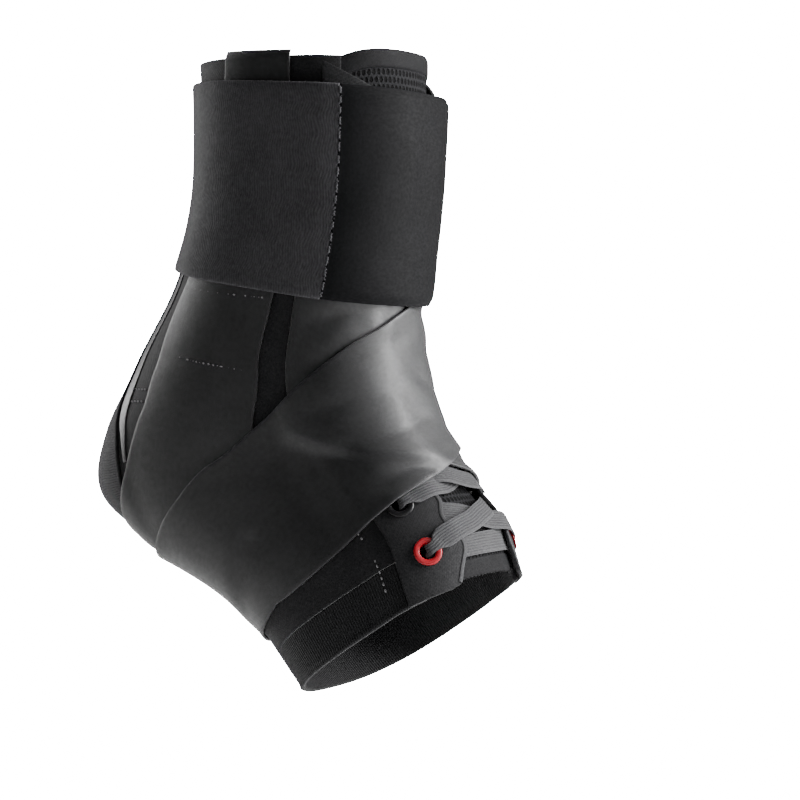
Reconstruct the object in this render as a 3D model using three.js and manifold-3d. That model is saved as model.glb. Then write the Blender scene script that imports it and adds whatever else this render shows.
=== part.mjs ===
// Lace-up ankle brace for a right foot, in the shape it has when worn with the heel raised.
// A soft boot opens down the front over a tongue and is drawn together by a flat lace. Two long
// straps each cross the shin, go down one side, under the sole and up the other side, and a broad
// elastic cuff closes over their ends.
// Millimetres. The origin is the middle of the ankle, +X points to the toes, +Z up the leg, and
// the outer side of the foot faces -Y.
import * as THREE from 'three';
import Module from 'manifold-3d';
import { mergeVertices } from 'three/addons/utils/BufferGeometryUtils.js';

// The foot and leg that the brace encloses
const shaftHeight = 130; // ankle to the collar
const shinReach = 52.4; // ankle forward to the shin, at the collar
const calfReach = 32; // ankle back to the calf, at the collar
const heelReach = 83; // ankle back to the heel
const instepReach = 87; // ankle forward to the toe edge, on top of the foot
const instepDrop = 59; // ankle down to the toe edge, on top of the foot
const soleDrop = 103; // ankle down to the toe edge, under the sole
const legWidth = 72;
const footWidth = 78;
const toeTurn = 2.2; // degrees that the front line turns to the outer side towards the toe edge

// Thickness of each material, and the clearance between layers
const fitGap = 0.3; // between the foot and what touches it
const layerGap = 0.45;
const patchGap = 0.85; // between the cuff and its closing patch, which bridges the straps' edges
const strapSlack = 0.86; // room under a strap, which bridges small hollows
const tongueWall = 1.5;
const bootWall = 1.5;
const facingWall = 1.1;
const laceWall = 0.8;
const strapWall = 1;
const cuffWall = 2.4;
const panelFall = 12; // distance over which a side panel comes down beside the tongue's edge
const strapFall = 11; // distance over which a strap comes down beside another one's edge
const facingFall = 16; // distance over which a strap comes down beside a facing's edge

// Widths and places of the pieces
const seamGap = 0.5;
const tongueWidth = 72;
const tongueRise = 3; // how far the tongue stands above the collar
const lacingGap = 24; // open width between the two rows of eyelets' edges
const facingWidth = 24;
const facingLap = 6; // how far each facing covers the side panel behind it
const scallop = 3; // depth of the dips between eyelets on a facing's edge
const facingCorner = 8; // radius of a facing's corner at the toe edge
const toeBandWidth = 17;
const strapWidth = 58;
const strapTipWidth = 27;
const strapTaper = 200; // length over which a strap narrows to its tip
const strapCutBack = 42; // how much later a strap's lower edge starts than its upper edge
const cutBackFade = 90; // length over which a strap's rows turn square to it
const bendWeight = 30; // millimetres of strap that one radian of bend counts for
const strapStep = 12; // reach of one spot of a strap's grid
const cuffHeight = 74;
const cuffTop = 120.6; // height of the cuff's upper edge above the ankle
const cuffTopTilt = 5; // degrees that the upper edge slopes down to the front
const cuffBottomTilt = 8.2; // the same for the lower edge
const patchSeam = 47; // degrees from the front where the knitted cuff meets its closing patch
const patchEnd = -98; // degrees from the front where the closing patch ends
const patchLap = 38; // degrees of cuff under the closing patch

// Eyelets and lace
const eyeletRows = 8;
const eyeletPitch = 17;
const firstEyelet = 13.5; // toe edge to the first eyelet
const eyeletInset = 13.5; // facing's edge to the eyelets' centres
const eyeletOuter = 10.2;
const eyeletHole = 5.6;
const eyeletBarrelWall = 0.55;
const eyeletFlange = 0.5;
const laceWidth = 8;
const laceNeck = 4; // width of the lace where it is drawn through an eyelet
const tipLength = 14;

// Cross-sections from the collar down round the heel to the toe edge. Each gives the foremost and
// rearmost point as [x, z], the half width, where the widest place lies between back (0) and front
// (1), and how square the outline is (2 is an ellipse).
const sections = [
  {
    front: [1.0 * shinReach, 0.98 * shaftHeight], back: [-0.97 * calfReach, 1.0 * shaftHeight],
    half: 0.5 * legWidth, widest: 0.5, square: 2.1,
  },
  {
    front: [0.995 * shinReach, 0.83 * shaftHeight], back: [-0.94 * calfReach, 0.84 * shaftHeight],
    half: 0.5 * legWidth, widest: 0.5, square: 2.1,
  },
  {
    front: [0.955 * shinReach, 0.615 * shaftHeight], back: [-1.0 * calfReach, 0.6 * shaftHeight],
    half: 0.487 * legWidth, widest: 0.5, square: 2.1,
  },
  {
    front: [0.89 * shinReach, 0.4 * shaftHeight], back: [-1.34 * calfReach, 0.36 * shaftHeight],
    half: 0.48 * legWidth, widest: 0.5, square: 2.1,
  },
  {
    front: [0.84 * shinReach, 0.215 * shaftHeight], back: [-0.766 * heelReach, 0.123 * shaftHeight],
    half: 0.493 * legWidth, widest: 0.52, square: 2.1,
  },
  {
    front: [0.56 * instepReach, 0.12 * instepDrop], back: [-0.965 * heelReach, -0.1 * soleDrop],
    half: 0.5 * legWidth, widest: 0.5, square: 2.15,
  },
  {
    front: [0.655 * instepReach, -0.19 * instepDrop], back: [-1.0 * heelReach, -0.33 * soleDrop],
    half: 0.45 * footWidth, widest: 0.48, square: 2.2,
  },
  {
    front: [0.805 * instepReach, -0.46 * instepDrop], back: [-0.65 * heelReach, -0.505 * soleDrop],
    half: 0.45 * footWidth, widest: 0.46, square: 2.3,
  },
  {
    front: [0.945 * instepReach, -0.71 * instepDrop], back: [-0.145 * heelReach, -0.69 * soleDrop],
    half: 0.475 * footWidth, widest: 0.44, square: 2.4,
  },
  {
    front: [1.0 * instepReach, -1.0 * instepDrop], back: [0.24 * instepReach, -1.0 * soleDrop],
    half: 0.5 * footWidth, widest: 0.44, square: 2.5,
  },
];

// Seam between a side panel and the heel panel: share of the way down the boot, and degrees round
// from the front.
const heelSeam = [
  { along: 0.0, around: 147 },
  { along: 0.33, around: 147 },
  { along: 0.42, around: 147 },
  { along: 0.485, around: 140 },
  { along: 0.53, around: 135 },
  { along: 0.585, around: 127 },
  { along: 0.65, around: 122 },
  { along: 0.71, around: 127 },
  { along: 0.745, around: 138 },
  { along: 0.77, around: 152 },
];
const heelPanelEnd = 0.775; // share of the way down the boot where the heel panel ends

// Middle line of a strap from where it is sewn on, as for the strap that ends on the inner side.
// The other one is its mirror image.
const strapRoute = [
  { along: 0.34, around: -81 },
  { along: 0.415, around: -56 },
  { along: 0.475, around: -37 },
  { along: 0.555, around: -4 },
  { along: 0.626, around: 25 },
  { along: 0.685, around: 46 },
  { along: 0.736, around: 65 },
  { along: 0.788, around: 86 },
  { along: 0.832, around: 109 },
  { along: 0.862, around: 144 },
  { along: 0.862, around: 175 },
  { along: 0.84, around: 199 },
  { along: 0.785, around: 236 },
  { along: 0.7, around: 261 },
  { along: 0.6, around: 269 },
  { along: 0.5, around: 269 },
  { along: 0.4, around: 266 },
  { along: 0.2, around: 269 },
  { along: -0.012, around: 272 },
];

const radians = THREE.MathUtils.degToRad;
const mix = THREE.MathUtils.lerp;
const ease = THREE.MathUtils.smoothstep; // smoothstep(x, min, max)

// Height of each layer above the foot
const tongueTop = fitGap + tongueWall;
const bootOverTongue = tongueTop + layerGap;
const facingInner = bootOverTongue + bootWall + layerGap;
const facingOuter = facingInner + facingWall;
const laceOver = facingOuter + layerGap;
const laceUnder = tongueTop + 2.7 * fitGap;
const eyeletTop = facingOuter + fitGap + eyeletFlange;
const laceOverEyelet = eyeletTop + 0.5 * fitGap;
const laceBar = laceUnder - 0.3 * fitGap;
const laceInEyelet = laceUnder + fitGap;
const strapLayer = strapWall + strapSlack;
const strapOverLace = laceOverEyelet + laceWall + 2 * fitGap;
const strapOverBoot = fitGap + bootWall + strapSlack;

// The lace's course through an eyelet, then across to the next one on the other side, and past the
// last one. up is a share of the eyelets' pitch from this eyelet towards the collar, across a share
// of the way from the front line to the eyelets, on this side (+) or the other (-).
const laceThroughEyelet = [
  { up: -0.025, across: 0.95, rise: laceInEyelet, width: laceNeck },
  { up: 0, across: 1, rise: facingInner, width: laceNeck },
  { up: 0.01, across: 0.985, rise: eyeletTop, width: laceNeck },
  { up: 0.06, across: 0.9, rise: laceOverEyelet + 0.5 * fitGap, width: laceNeck },
];
const laceAcross = [
  { up: 0.155, across: 0.78, rise: (laceOver + laceOverEyelet) / 2, width: laceWidth },
  { up: 0.275, across: 0.53, rise: laceOver, width: laceWidth },
  { up: 0.4, across: 0.2, rise: laceUnder + fitGap, width: laceWidth },
  { up: 0.6, across: -0.2, rise: laceUnder + fitGap, width: laceWidth },
  { up: 0.745, across: -0.57, rise: laceUnder + 0.7 * fitGap, width: laceWidth },
  { up: 0.875, across: -0.8, rise: laceUnder, width: laceWidth },
];
const laceTail = [
  { up: 0.25, across: 0.77, rise: laceOverEyelet, width: laceWidth },
  { up: 0.6, across: 0.6, rise: laceOver, width: laceWidth },
  { up: 1.27, across: 0.49, rise: laceOver, width: laceWidth },
];

// One value of a table at a place between its rows, along a Catmull-Rom spline.
function spline(values, place) {
  const last = values.length - 1;
  const scaled = THREE.MathUtils.clamp(place, 0, 1) * last;
  const index = Math.min(Math.floor(scaled), last - 1);
  const t = scaled - index;
  const b = values[index];
  const c = values[index + 1];
  const a = index > 0 ? values[index - 1] : 2 * b - c;
  const d = index < last - 1 ? values[index + 2] : 2 * c - b;
  const bend = 2 * a - 5 * b + 4 * c - d;
  const twist = 3 * b - a - 3 * c + d;
  return 0.5 * (2 * b + (c - a) * t + bend * t ** 2 + twist * t ** 3);
}

const columns = {
  frontX: sections.map((row) => row.front[0]),
  frontZ: sections.map((row) => row.front[1]),
  backX: sections.map((row) => row.back[0]),
  backZ: sections.map((row) => row.back[1]),
  half: sections.map((row) => row.half),
  widest: sections.map((row) => row.widest),
  square: sections.map((row) => row.square),
};

// A point of the foot's surface. along runs from 0 at the collar to 1 at the toe edge, around is
// degrees from the front over the outer side.
function footPoint(along, around) {
  const value = (name) => spline(columns[name], along);
  const power = 2 / value('square');
  const turned = around + toeTurn * ease(along, 0.6, 1);
  const cosine = Math.cos(radians(turned));
  const sine = Math.sin(radians(turned));
  const reach = Math.sign(cosine) * Math.abs(cosine) ** power;
  const side = Math.sign(sine) * Math.abs(sine) ** power;
  const widest = value('widest');
  const share = widest + reach * (reach > 0 ? 1 - widest : widest);
  const point = new THREE.Vector3(
    mix(value('backX'), value('frontX'), share),
    -value('half') * side,
    mix(value('backZ'), value('frontZ'), share),
  );
  const beyond = Math.min(along, 0); // above the collar the surface runs on straight
  if (beyond === 0) return point;
  const slope = footPoint(0.01, around).sub(footPoint(0, around)).divideScalar(0.01);
  return point.addScaledVector(slope, beyond);
}

// Directions on the surface: per unit of along, per degree of around, and the outward normal.
function directions(along, around) {
  const half = 0.002;
  const turn = 0.5;
  const middle = Math.min(along, 1 - half);
  const down = footPoint(middle + half, around).sub(footPoint(middle - half, around)).divideScalar(2 * half);
  const round = footPoint(along, around + turn).sub(footPoint(along, around - turn)).divideScalar(2 * turn);
  const normal = new THREE.Vector3().crossVectors(round, down).normalize();
  return { down, round, normal };
}

function raised(along, around, rise) {
  return footPoint(along, around).addScaledVector(directions(along, around).normal, rise);
}

// Degrees round from the front at which the surface is that far from the front line.
function aroundFor(along, distance) {
  const steps = 12;
  let around = 0;
  for (let i = 0; i < steps; i++) {
    const pace = footPoint(along, around + 1).distanceTo(footPoint(along, around - 1)) / 2;
    around += distance / steps / pace;
  }
  return around;
}

// The same for a distance to either side (+ outer, - inner): the inner side mirrors the outer one.
function mirroredFor(along, distance) {
  return Math.sign(distance) * aroundFor(along, Math.abs(distance));
}

// Distance over the surface from the front line to that many degrees round.
function distanceFor(along, around) {
  const steps = 8;
  let distance = 0;
  for (let i = 0; i < steps; i++) {
    const here = footPoint(along, (around * i) / steps);
    distance += here.distanceTo(footPoint(along, (around * (i + 1)) / steps));
  }
  return distance;
}

const frontSteps = 200;

// Share of the way down the boot at a distance up the front line from the toe edge.
function alongUpFront(distance) {
  let along = 1;
  let left = distance;
  while (left > 0) {
    const step = footPoint(along, 0).distanceTo(footPoint(along - 1 / frontSteps, 0));
    along -= Math.min(1, left / step) / frontSteps;
    left -= step;
  }
  return along;
}

// Share of the way down the boot where a plane that slopes down to the front cuts the surface.
function alongAtHeight(around, height, slope) {
  const tilt = Math.tan(radians(slope));
  let above = -0.1;
  let below = 0.6;
  for (let i = 0; i < 24; i++) {
    const middle = (above + below) / 2;
    const point = footPoint(middle, around);
    if (point.z + tilt * point.x > height) above = middle;
    else below = middle;
  }
  return above;
}

// Value of one column of a table whose rows are spaced by their along values.
function tableAt(table, name, along) {
  const row = Math.max(1, table.findIndex((entry) => entry.along >= along));
  if (table[table.length - 1].along <= along) return table[table.length - 1][name];
  const from = table[row - 1];
  const to = table[row];
  return mix(from[name], to[name], (along - from.along) / (to.along - from.along));
}

// Inner height of the side panels: they lift over the tongue's edge.
function bootRise(along, around) {
  const distance = distanceFor(along, Math.abs(around));
  const tongueEdge = tongueWidth / 2 + bootWall;
  return mix(bootOverTongue, fitGap, ease(distance, tongueEdge, tongueEdge + panelFall));
}

// Inner height of whatever lies on the laced front or on the side panels.
function strapRise(along, around) {
  const turned = Math.abs(THREE.MathUtils.euclideanModulo(around + 180, 360) - 180);
  const distance = distanceFor(along, turned);
  const facingEdge = lacingGap / 2 + facingWidth + facingWall;
  return mix(strapOverLace, strapOverBoot, ease(distance, facingEdge, facingEdge + facingFall));
}

// A wall of even thickness over a grid of places on the foot. place(s, t) gives along, around and
// the inner height, for s and t from 0 to 1.
function wall(rows, columnsAcross, thickness, place) {
  const positions = [];
  const index = [];
  const width = columnsAcross + 1;
  const layer = (rows + 1) * width;
  for (const lift of [0, thickness]) {
    for (let i = 0; i <= rows; i++) {
      for (let j = 0; j < width; j++) {
        const { along, around, rise } = place(i / rows, j / columnsAcross);
        positions.push(...raised(along, around, rise + lift).toArray());
      }
    }
  }
  const quad = (a, b, c, d) => index.push(a, b, c, a, c, d);
  const inner = (i, j) => i * width + j;
  const outer = (i, j) => layer + i * width + j;
  const at = (k) => new THREE.Vector3().fromArray(positions, 3 * k);
  // Whether a grid square is creased outwards from its first corner to its last.
  const creased = (i, j) => {
    const first = at(outer(i, j)).add(at(outer(i + 1, j + 1)));
    const second = at(outer(i + 1, j)).add(at(outer(i, j + 1)));
    return first.sub(second).dot(at(outer(i, j)).sub(at(inner(i, j)))) >= 0;
  };
  for (let i = 0; i < rows; i++) {
    for (let j = 0; j < columnsAcross; j++) {
      if (creased(i, j)) {
        quad(outer(i, j), outer(i + 1, j), outer(i + 1, j + 1), outer(i, j + 1));
        quad(inner(i, j), inner(i, j + 1), inner(i + 1, j + 1), inner(i + 1, j));
      } else {
        quad(outer(i + 1, j), outer(i + 1, j + 1), outer(i, j + 1), outer(i, j));
        quad(inner(i, j + 1), inner(i + 1, j + 1), inner(i + 1, j), inner(i, j));
      }
    }
    quad(inner(i, 0), inner(i + 1, 0), outer(i + 1, 0), outer(i, 0));
    const end = columnsAcross;
    quad(inner(i, end), outer(i, end), outer(i + 1, end), inner(i + 1, end));
  }
  for (let j = 0; j < columnsAcross; j++) {
    quad(inner(0, j), outer(0, j), outer(0, j + 1), inner(0, j + 1));
    quad(inner(rows, j), inner(rows, j + 1), outer(rows, j + 1), outer(rows, j));
  }
  const geometry = new THREE.BufferGeometry();
  geometry.setAttribute('position', new THREE.Float32BufferAttribute(positions, 3));
  geometry.setIndex(index);
  return facingOut(geometry);
}

// Turns every face round if the solid is inside out.
function facingOut(geometry) {
  const position = geometry.getAttribute('position');
  const order = geometry.index.array;
  const corner = (k) => new THREE.Vector3().fromBufferAttribute(position, order[k]);
  let volume = 0;
  for (let k = 0; k < order.length; k += 3) {
    volume += corner(k).dot(corner(k + 1).cross(corner(k + 2)));
  }
  if (volume < 0) {
    for (let k = 0; k < order.length; k += 3) {
      [order[k + 1], order[k + 2]] = [order[k + 2], order[k + 1]];
    }
  }
  return geometry;
}

const wasm = await Module();
wasm.setup();

function toSolid(geometry) {
  const bare = new THREE.BufferGeometry();
  bare.setAttribute('position', geometry.getAttribute('position').clone());
  if (geometry.index) bare.setIndex(geometry.index.clone());
  const merged = mergeVertices(bare, 1e-4);
  return new wasm.Manifold(
    new wasm.Mesh({
      numProp: 3,
      vertProperties: new Float32Array(merged.getAttribute('position').array),
      triVerts: new Uint32Array(merged.index.array),
    }),
  );
}

function fromSolid(solid) {
  const mesh = solid.getMesh();
  const geometry = new THREE.BufferGeometry();
  geometry.setAttribute('position', new THREE.BufferAttribute(new Float32Array(mesh.vertProperties), 3));
  geometry.setIndex(new THREE.BufferAttribute(new Uint32Array(mesh.triVerts), 1));
  return geometry;
}

const fabric = (color, roughness) => new THREE.MeshStandardMaterial({ color, roughness, metalness: 0 });
const bootFabric = fabric(0x1d1d20, 0.8);
const knitFabric = fabric(0x242427, 0.9);
const meshFabric = fabric(0x2c2c2f, 0.95);
const strapFabric = fabric(0x2a2a2d, 0.6);
const patchFabric = fabric(0x252527, 0.65);
const laceFabric = fabric(0x55555a, 0.85);
const redPaint = fabric(0xc21526, 0.35);
const blackPaint = fabric(0x17171a, 0.35);
const tipPlastic = fabric(0x1a1a1c, 0.4);

const brace = new THREE.Group();

function add(name, geometry, material) {
  const mesh = new THREE.Mesh(geometry, material);
  mesh.name = name;
  brace.add(mesh);
}

// Edge of a facing towards the middle of the foot: full at each eyelet, dipping between them, and
// rounded off at the toe edge.
const facingEdgeAt = (distanceUp) => {
  const wave = Math.cos((2 * Math.PI * (distanceUp - firstEyelet)) / eyeletPitch);
  const intoCorner = Math.max(0, 1 - distanceUp / facingCorner);
  return lacingGap / 2 + (scallop * (1 - wave)) / 2 + facingCorner * (1 - Math.sqrt(1 - intoCorner ** 2));
};

const frontLength = (() => {
  let length = 0;
  for (let i = 0; i < frontSteps; i++) {
    length += footPoint(i / frontSteps, 0).distanceTo(footPoint((i + 1) / frontSteps, 0));
  }
  return length;
})();

function addTongue() {
  const half = tongueWidth / 2;
  const toeHalf = 0.78 * half;
  const topAlong = -tongueRise / (frontLength / 1.02);
  const cornerDrop = 0.055; // the top corners are rounded off by this share of the boot's length
  const place = (s, t) => {
    const across = 2 * t - 1;
    const along = mix(topAlong + cornerDrop * across ** 4, 0.988, s);
    const halfHere = mix(half, toeHalf, ease(along, 0.55, 0.95));
    return { along, around: mirroredFor(Math.max(along, 0), across * halfHere), rise: fitGap };
  };
  add('tongue', wall(20, 6, tongueWall, place), meshFabric);
}

const bootFront = lacingGap / 2 + facingWidth - facingLap; // front line to a side panel's edge

// Share of the way down at which a side panel gives way to the band at the toe edge.
function panelEnd(around) {
  const pace = footPoint(1, around).distanceTo(footPoint(0.96, around)) / 0.04;
  return 1 - toeBandWidth / pace;
}

function seamAngle(along) {
  return along > heelPanelEnd ? 180 : tableAt(heelSeam, 'around', along);
}

// Angle that a seam's gap takes up at a place.
function gapAngle(along, around) {
  return seamGap / 2 / directions(along, around).round.length();
}

// Places down the boot, closer together where it turns round the heel.
const downTheBoot = [
  0, 0.09, 0.18, 0.26, 0.32, 0.37, 0.42, 0.47, 0.52, 0.56, 0.6, 0.64, 0.68, 0.715, 0.745,
  heelPanelEnd - 0.002, heelPanelEnd + 0.004, 0.82, 0.87, 0.93, 1,
];

function addSidePanel(name, side) {
  const rows = downTheBoot.length - 1;
  const place = (s, t) => {
    const station = downTheBoot[Math.round(s * rows)];
    const from = aroundFor(station, bootFront);
    const seam = seamAngle(station);
    const around = mix(from, seam - gapAngle(station, seam), t);
    const belowHeel = Math.max(0, (station - heelPanelEnd) / (1 - heelPanelEnd));
    const along = station - belowHeel * (1 - panelEnd(around));
    return { along, around: side * around, rise: bootRise(along, around) };
  };
  add(name, wall(rows, 10, bootWall, place), bootFabric);
}

function addHeelPanel() {
  const stations = downTheBoot.filter((station) => station < heelPanelEnd);
  const rows = stations.length - 1;
  const place = (s, t) => {
    const along = stations[Math.round(s * rows)];
    const seam = seamAngle(along) + gapAngle(along, seamAngle(along));
    return { along, around: mix(seam, 360 - seam, t), rise: fitGap };
  };
  add('heel_panel', wall(rows, 8, bootWall, place), knitFabric);
}

function addToeBand() {
  const start = aroundFor(1, bootFront);
  const place = (s, t) => {
    const around = mix(start, 360 - start, s);
    const folded = around > 180 ? 360 - around : around;
    const pace = directions(0.97, folded).down.length();
    const along = mix(panelEnd(folded) + seamGap / pace, 1, t);
    return { along, around, rise: bootRise(along, folded) };
  };
  add('toe_band', wall(24, 2, bootWall, place), knitFabric);
}

function eyeletPlace(row, side) {
  const distanceUp = firstEyelet + row * eyeletPitch;
  const along = alongUpFront(distanceUp);
  return { along, around: mirroredFor(along, side * (lacingGap / 2 + eyeletInset)) };
}

const eyeletSides = 8;

// Turns a shape that stands on +Y so that it stands on the foot's surface at a place.
function standOn(geometry, { along, around }) {
  const up = new THREE.Vector3(0, 1, 0);
  geometry.applyQuaternion(new THREE.Quaternion().setFromUnitVectors(up, directions(along, around).normal));
  geometry.translate(...footPoint(along, around).toArray());
  geometry.deleteAttribute('normal');
  geometry.deleteAttribute('uv');
  return geometry;
}

// A cylinder of the eyelet's barrel plus clearance, standing on the foot's surface.
function eyeletCutter(row, side) {
  const radius = eyeletHole / 2 + eyeletBarrelWall + fitGap;
  const cylinder = new THREE.CylinderGeometry(radius, radius, 3 * facingOuter, eyeletSides);
  return toSolid(standOn(cylinder, eyeletPlace(row, side)));
}

function addFacing(name, side) {
  const reach = frontLength - 2;
  const quarter = eyeletPitch / 4; // four rows of the grid to each dip
  const stations = [0, 0.25 * facingCorner, 0.6 * facingCorner];
  for (let k = -1; k <= 4 * eyeletRows - 2; k++) stations.push(firstEyelet + k * quarter);
  const laced = stations[stations.length - 1];
  for (const share of [0.2, 0.4, 0.6, 0.8, 1]) stations.push(mix(laced, reach, share));
  const rows = stations.length - 1;
  const shares = [0, 0.4, 0.75, 1];
  const place = (s, t) => {
    const distanceUp = stations[Math.round(s * rows)];
    const slope = 0.075 * (1 - t); // the top end is cut on a slant, lowest at the lacing
    const along = Math.max(alongUpFront(distanceUp), 0.012) + slope * ease(s, 0.75, 1);
    const distance = mix(facingEdgeAt(distanceUp), lacingGap / 2 + facingWidth, shares[Math.round(3 * t)]);
    return { along, around: side * aroundFor(along, distance), rise: facingInner };
  };
  let solid = toSolid(wall(rows, 3, facingWall, place));
  for (let row = 0; row < eyeletRows; row++) solid = solid.subtract(eyeletCutter(row, side));
  add(name, fromSolid(solid), bootFabric);
}

function addEyelet(name, row, side) {
  const holeRadius = eyeletHole / 2;
  const profile = [
    [holeRadius, facingInner - fitGap],
    [holeRadius + eyeletBarrelWall, facingInner - fitGap],
    [holeRadius + eyeletBarrelWall, facingOuter + fitGap],
    [eyeletOuter / 2, facingOuter + fitGap],
    [holeRadius + eyeletFlange, eyeletTop],
  ].map(([radius, height]) => new THREE.Vector2(radius, height));
  const lathe = new THREE.LatheGeometry([...profile, profile[0]], eyeletSides);
  const ring = standOn(lathe, eyeletPlace(row, side));
  add(name, facingOut(mergeVertices(ring, 1e-4)), row === 0 ? redPaint : blackPaint);
}

// Middle line of a strap. at gives its place a distance from its sewn end, and stations are the
// distances of its rows, closer together where it bends.
function strapLine(side, steps) {
  const alongs = strapRoute.map((row) => row.along);
  const arounds = strapRoute.map((row) => row.around);
  const fine = 600;
  const dense = [];
  for (let i = 0; i <= fine; i++) {
    const along = spline(alongs, i / fine);
    const around = side * spline(arounds, i / fine);
    const point = footPoint(along, around);
    const { normal } = directions(along, around);
    const before = dense[i - 1] ?? { point, normal, gone: 0, spent: 0 };
    const step = point.distanceTo(before.point);
    const spent = before.spent + step + bendWeight * normal.angleTo(before.normal);
    dense.push({ along, around, point, normal, gone: before.gone + step, spent });
  }
  const total = dense[fine].spent;
  const length = dense[fine].gone;
  const stations = [];
  for (let i = 0; i <= steps; i++) {
    const entry = dense.find((item) => item.spent >= (total * i) / steps - 1e-6) ?? dense[fine];
    stations.push(entry.gone);
  }
  const at = (distance) => {
    const next = Math.max(1, dense.findIndex((item) => item.gone >= Math.min(distance, length)));
    const from = dense[next - 1];
    const to = dense[next];
    const share = THREE.MathUtils.clamp((distance - from.gone) / (to.gone - from.gone), 0, 1);
    return { along: mix(from.along, to.along, share), around: mix(from.around, to.around, share) };
  };
  return { at, stations, length };
}

// Walks over the surface from a place, at first in the given direction, and gives the places passed.
function walk(start, direction, distance, steps) {
  const places = [];
  let { along, around } = start;
  const heading = direction.clone();
  for (let i = 0; i < steps; i++) {
    const { down, round, normal } = directions(along, around);
    heading.addScaledVector(normal, -heading.dot(normal)).normalize();
    const a = down.dot(down);
    const b = down.dot(round);
    const c = round.dot(round);
    const p = heading.dot(down);
    const q = heading.dot(round);
    const scale = distance / steps / (a * c - b * b);
    along += (c * p - b * q) * scale;
    around += (a * q - b * p) * scale;
    places.push({ along, around });
  }
  return places;
}

const strapSteps = 51;
const strapAcross = 6;
const halfWidthAt = (left) => mix(strapTipWidth, strapWidth, ease(left, 0, strapTaper)) / 2;

// How many strap layers lie under a place: the highest of the strap's spots near it.
function layersUnder(point, spots) {
  let layers = 0;
  for (const spot of spots) {
    const distance = point.distanceTo(spot.point);
    if (distance > strapStep + strapFall) continue;
    layers = Math.max(layers, (spot.level + 1) * (1 - ease(distance, strapStep, strapStep + strapFall)));
  }
  return layers;
}

// A strap is laid from its sewn end on. Each part of it lies on what is there already.
function layStrap(side, laid) {
  const { at, stations, length } = strapLine(side, strapSteps);
  const own = [];
  const middle = strapAcross / 2;
  const placeOn = (station, column) => {
    const off = (middle - column) / middle; // 1 at one edge, -1 at the other
    const cutBack = (strapCutBack * (1 + side * off)) / 2;
    const gone = station + cutBack * (1 - ease(station, 0, cutBackFade));
    const start = at(gone);
    const reach = strapStep / 2;
    const ahead = at(gone + reach);
    const behind = at(Math.max(gone - reach, 0));
    const forward = footPoint(ahead.along, ahead.around);
    forward.sub(footPoint(behind.along, behind.around)).normalize();
    const sideways = new THREE.Vector3().crossVectors(directions(start.along, start.around).normal, forward);
    const steps = Math.abs(middle - column);
    if (steps === 0) return { ...start, point: footPoint(start.along, start.around), gone };
    const distance = halfWidthAt(length - gone) * Math.abs(off);
    const place = walk(start, sideways.multiplyScalar(Math.sign(off)), distance, steps).pop();
    return { ...place, point: footPoint(place.along, place.around), gone };
  };
  const grid = stations.map((station) => {
    const before = own.filter((spot) => spot.gone < station - 2.2 * strapWidth);
    return Array.from({ length: strapAcross + 1 }, (_, column) => {
      const { along, around, point, gone } = placeOn(station, column);
      const level = layersUnder(point, [...laid, ...before]);
      own.push({ point, gone, level });
      return { along, around, rise: strapRise(along, around) + level * strapLayer };
    });
  });
  const place = (s, t) => grid[Math.round(s * strapSteps)][Math.round(t * strapAcross)];
  return { geometry: wall(strapSteps, strapAcross, strapWall, place), spots: own };
}

const strapSpots = [];

function addStraps() {
  for (const [name, side] of [['strap_under', -1], ['strap_over', 1]]) {
    const { geometry, spots } = layStrap(side, strapSpots);
    add(name, geometry, strapFabric);
    strapSpots.push(...spots);
  }
}

const cuffAcross = 5;

function cuffAlong(around, share) {
  const top = alongAtHeight(around, cuffTop, cuffTopTilt);
  return mix(top, alongAtHeight(around, cuffTop - cuffHeight, cuffBottomTilt), share);
}

// Inner height of the cuff: it is stretched over the lacing and whatever straps lie under it.
function cuffRise(around) {
  let rise = 0;
  for (let i = 0; i <= cuffAcross; i++) {
    const along = cuffAlong(around, i / cuffAcross);
    const layers = layersUnder(footPoint(along, around), strapSpots);
    rise = Math.max(rise, strapRise(along, around) + layers * strapLayer);
  }
  return rise;
}

function cuffPlace(around, share, extra) {
  return { along: cuffAlong(around, share), around, rise: cuffRise(around) + extra };
}

function addCuff() {
  const seam = patchSeam + 0.5;
  const bandEnd = 360 + patchEnd + patchLap;
  const band = (s, t) => cuffPlace(mix(seam, bandEnd, s), t, 0);
  add('cuff_band', wall(22, cuffAcross, cuffWall, band), knitFabric);
  const patch = (s, t) => {
    const around = mix(patchSeam - 0.5, patchEnd, s);
    const overlap = 1 - ease(around, patchEnd + patchLap + 8, patchEnd + patchLap + 26);
    const inset = 0.12 * ease(s, 0.93, 1) ** 2; // the loose end has rounded corners
    return cuffPlace(around, mix(inset, 1 - inset, t), overlap * (cuffWall + patchGap));
  };
  add('cuff_patch', wall(15, cuffAcross, cuffWall, patch), patchFabric);
}

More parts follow.
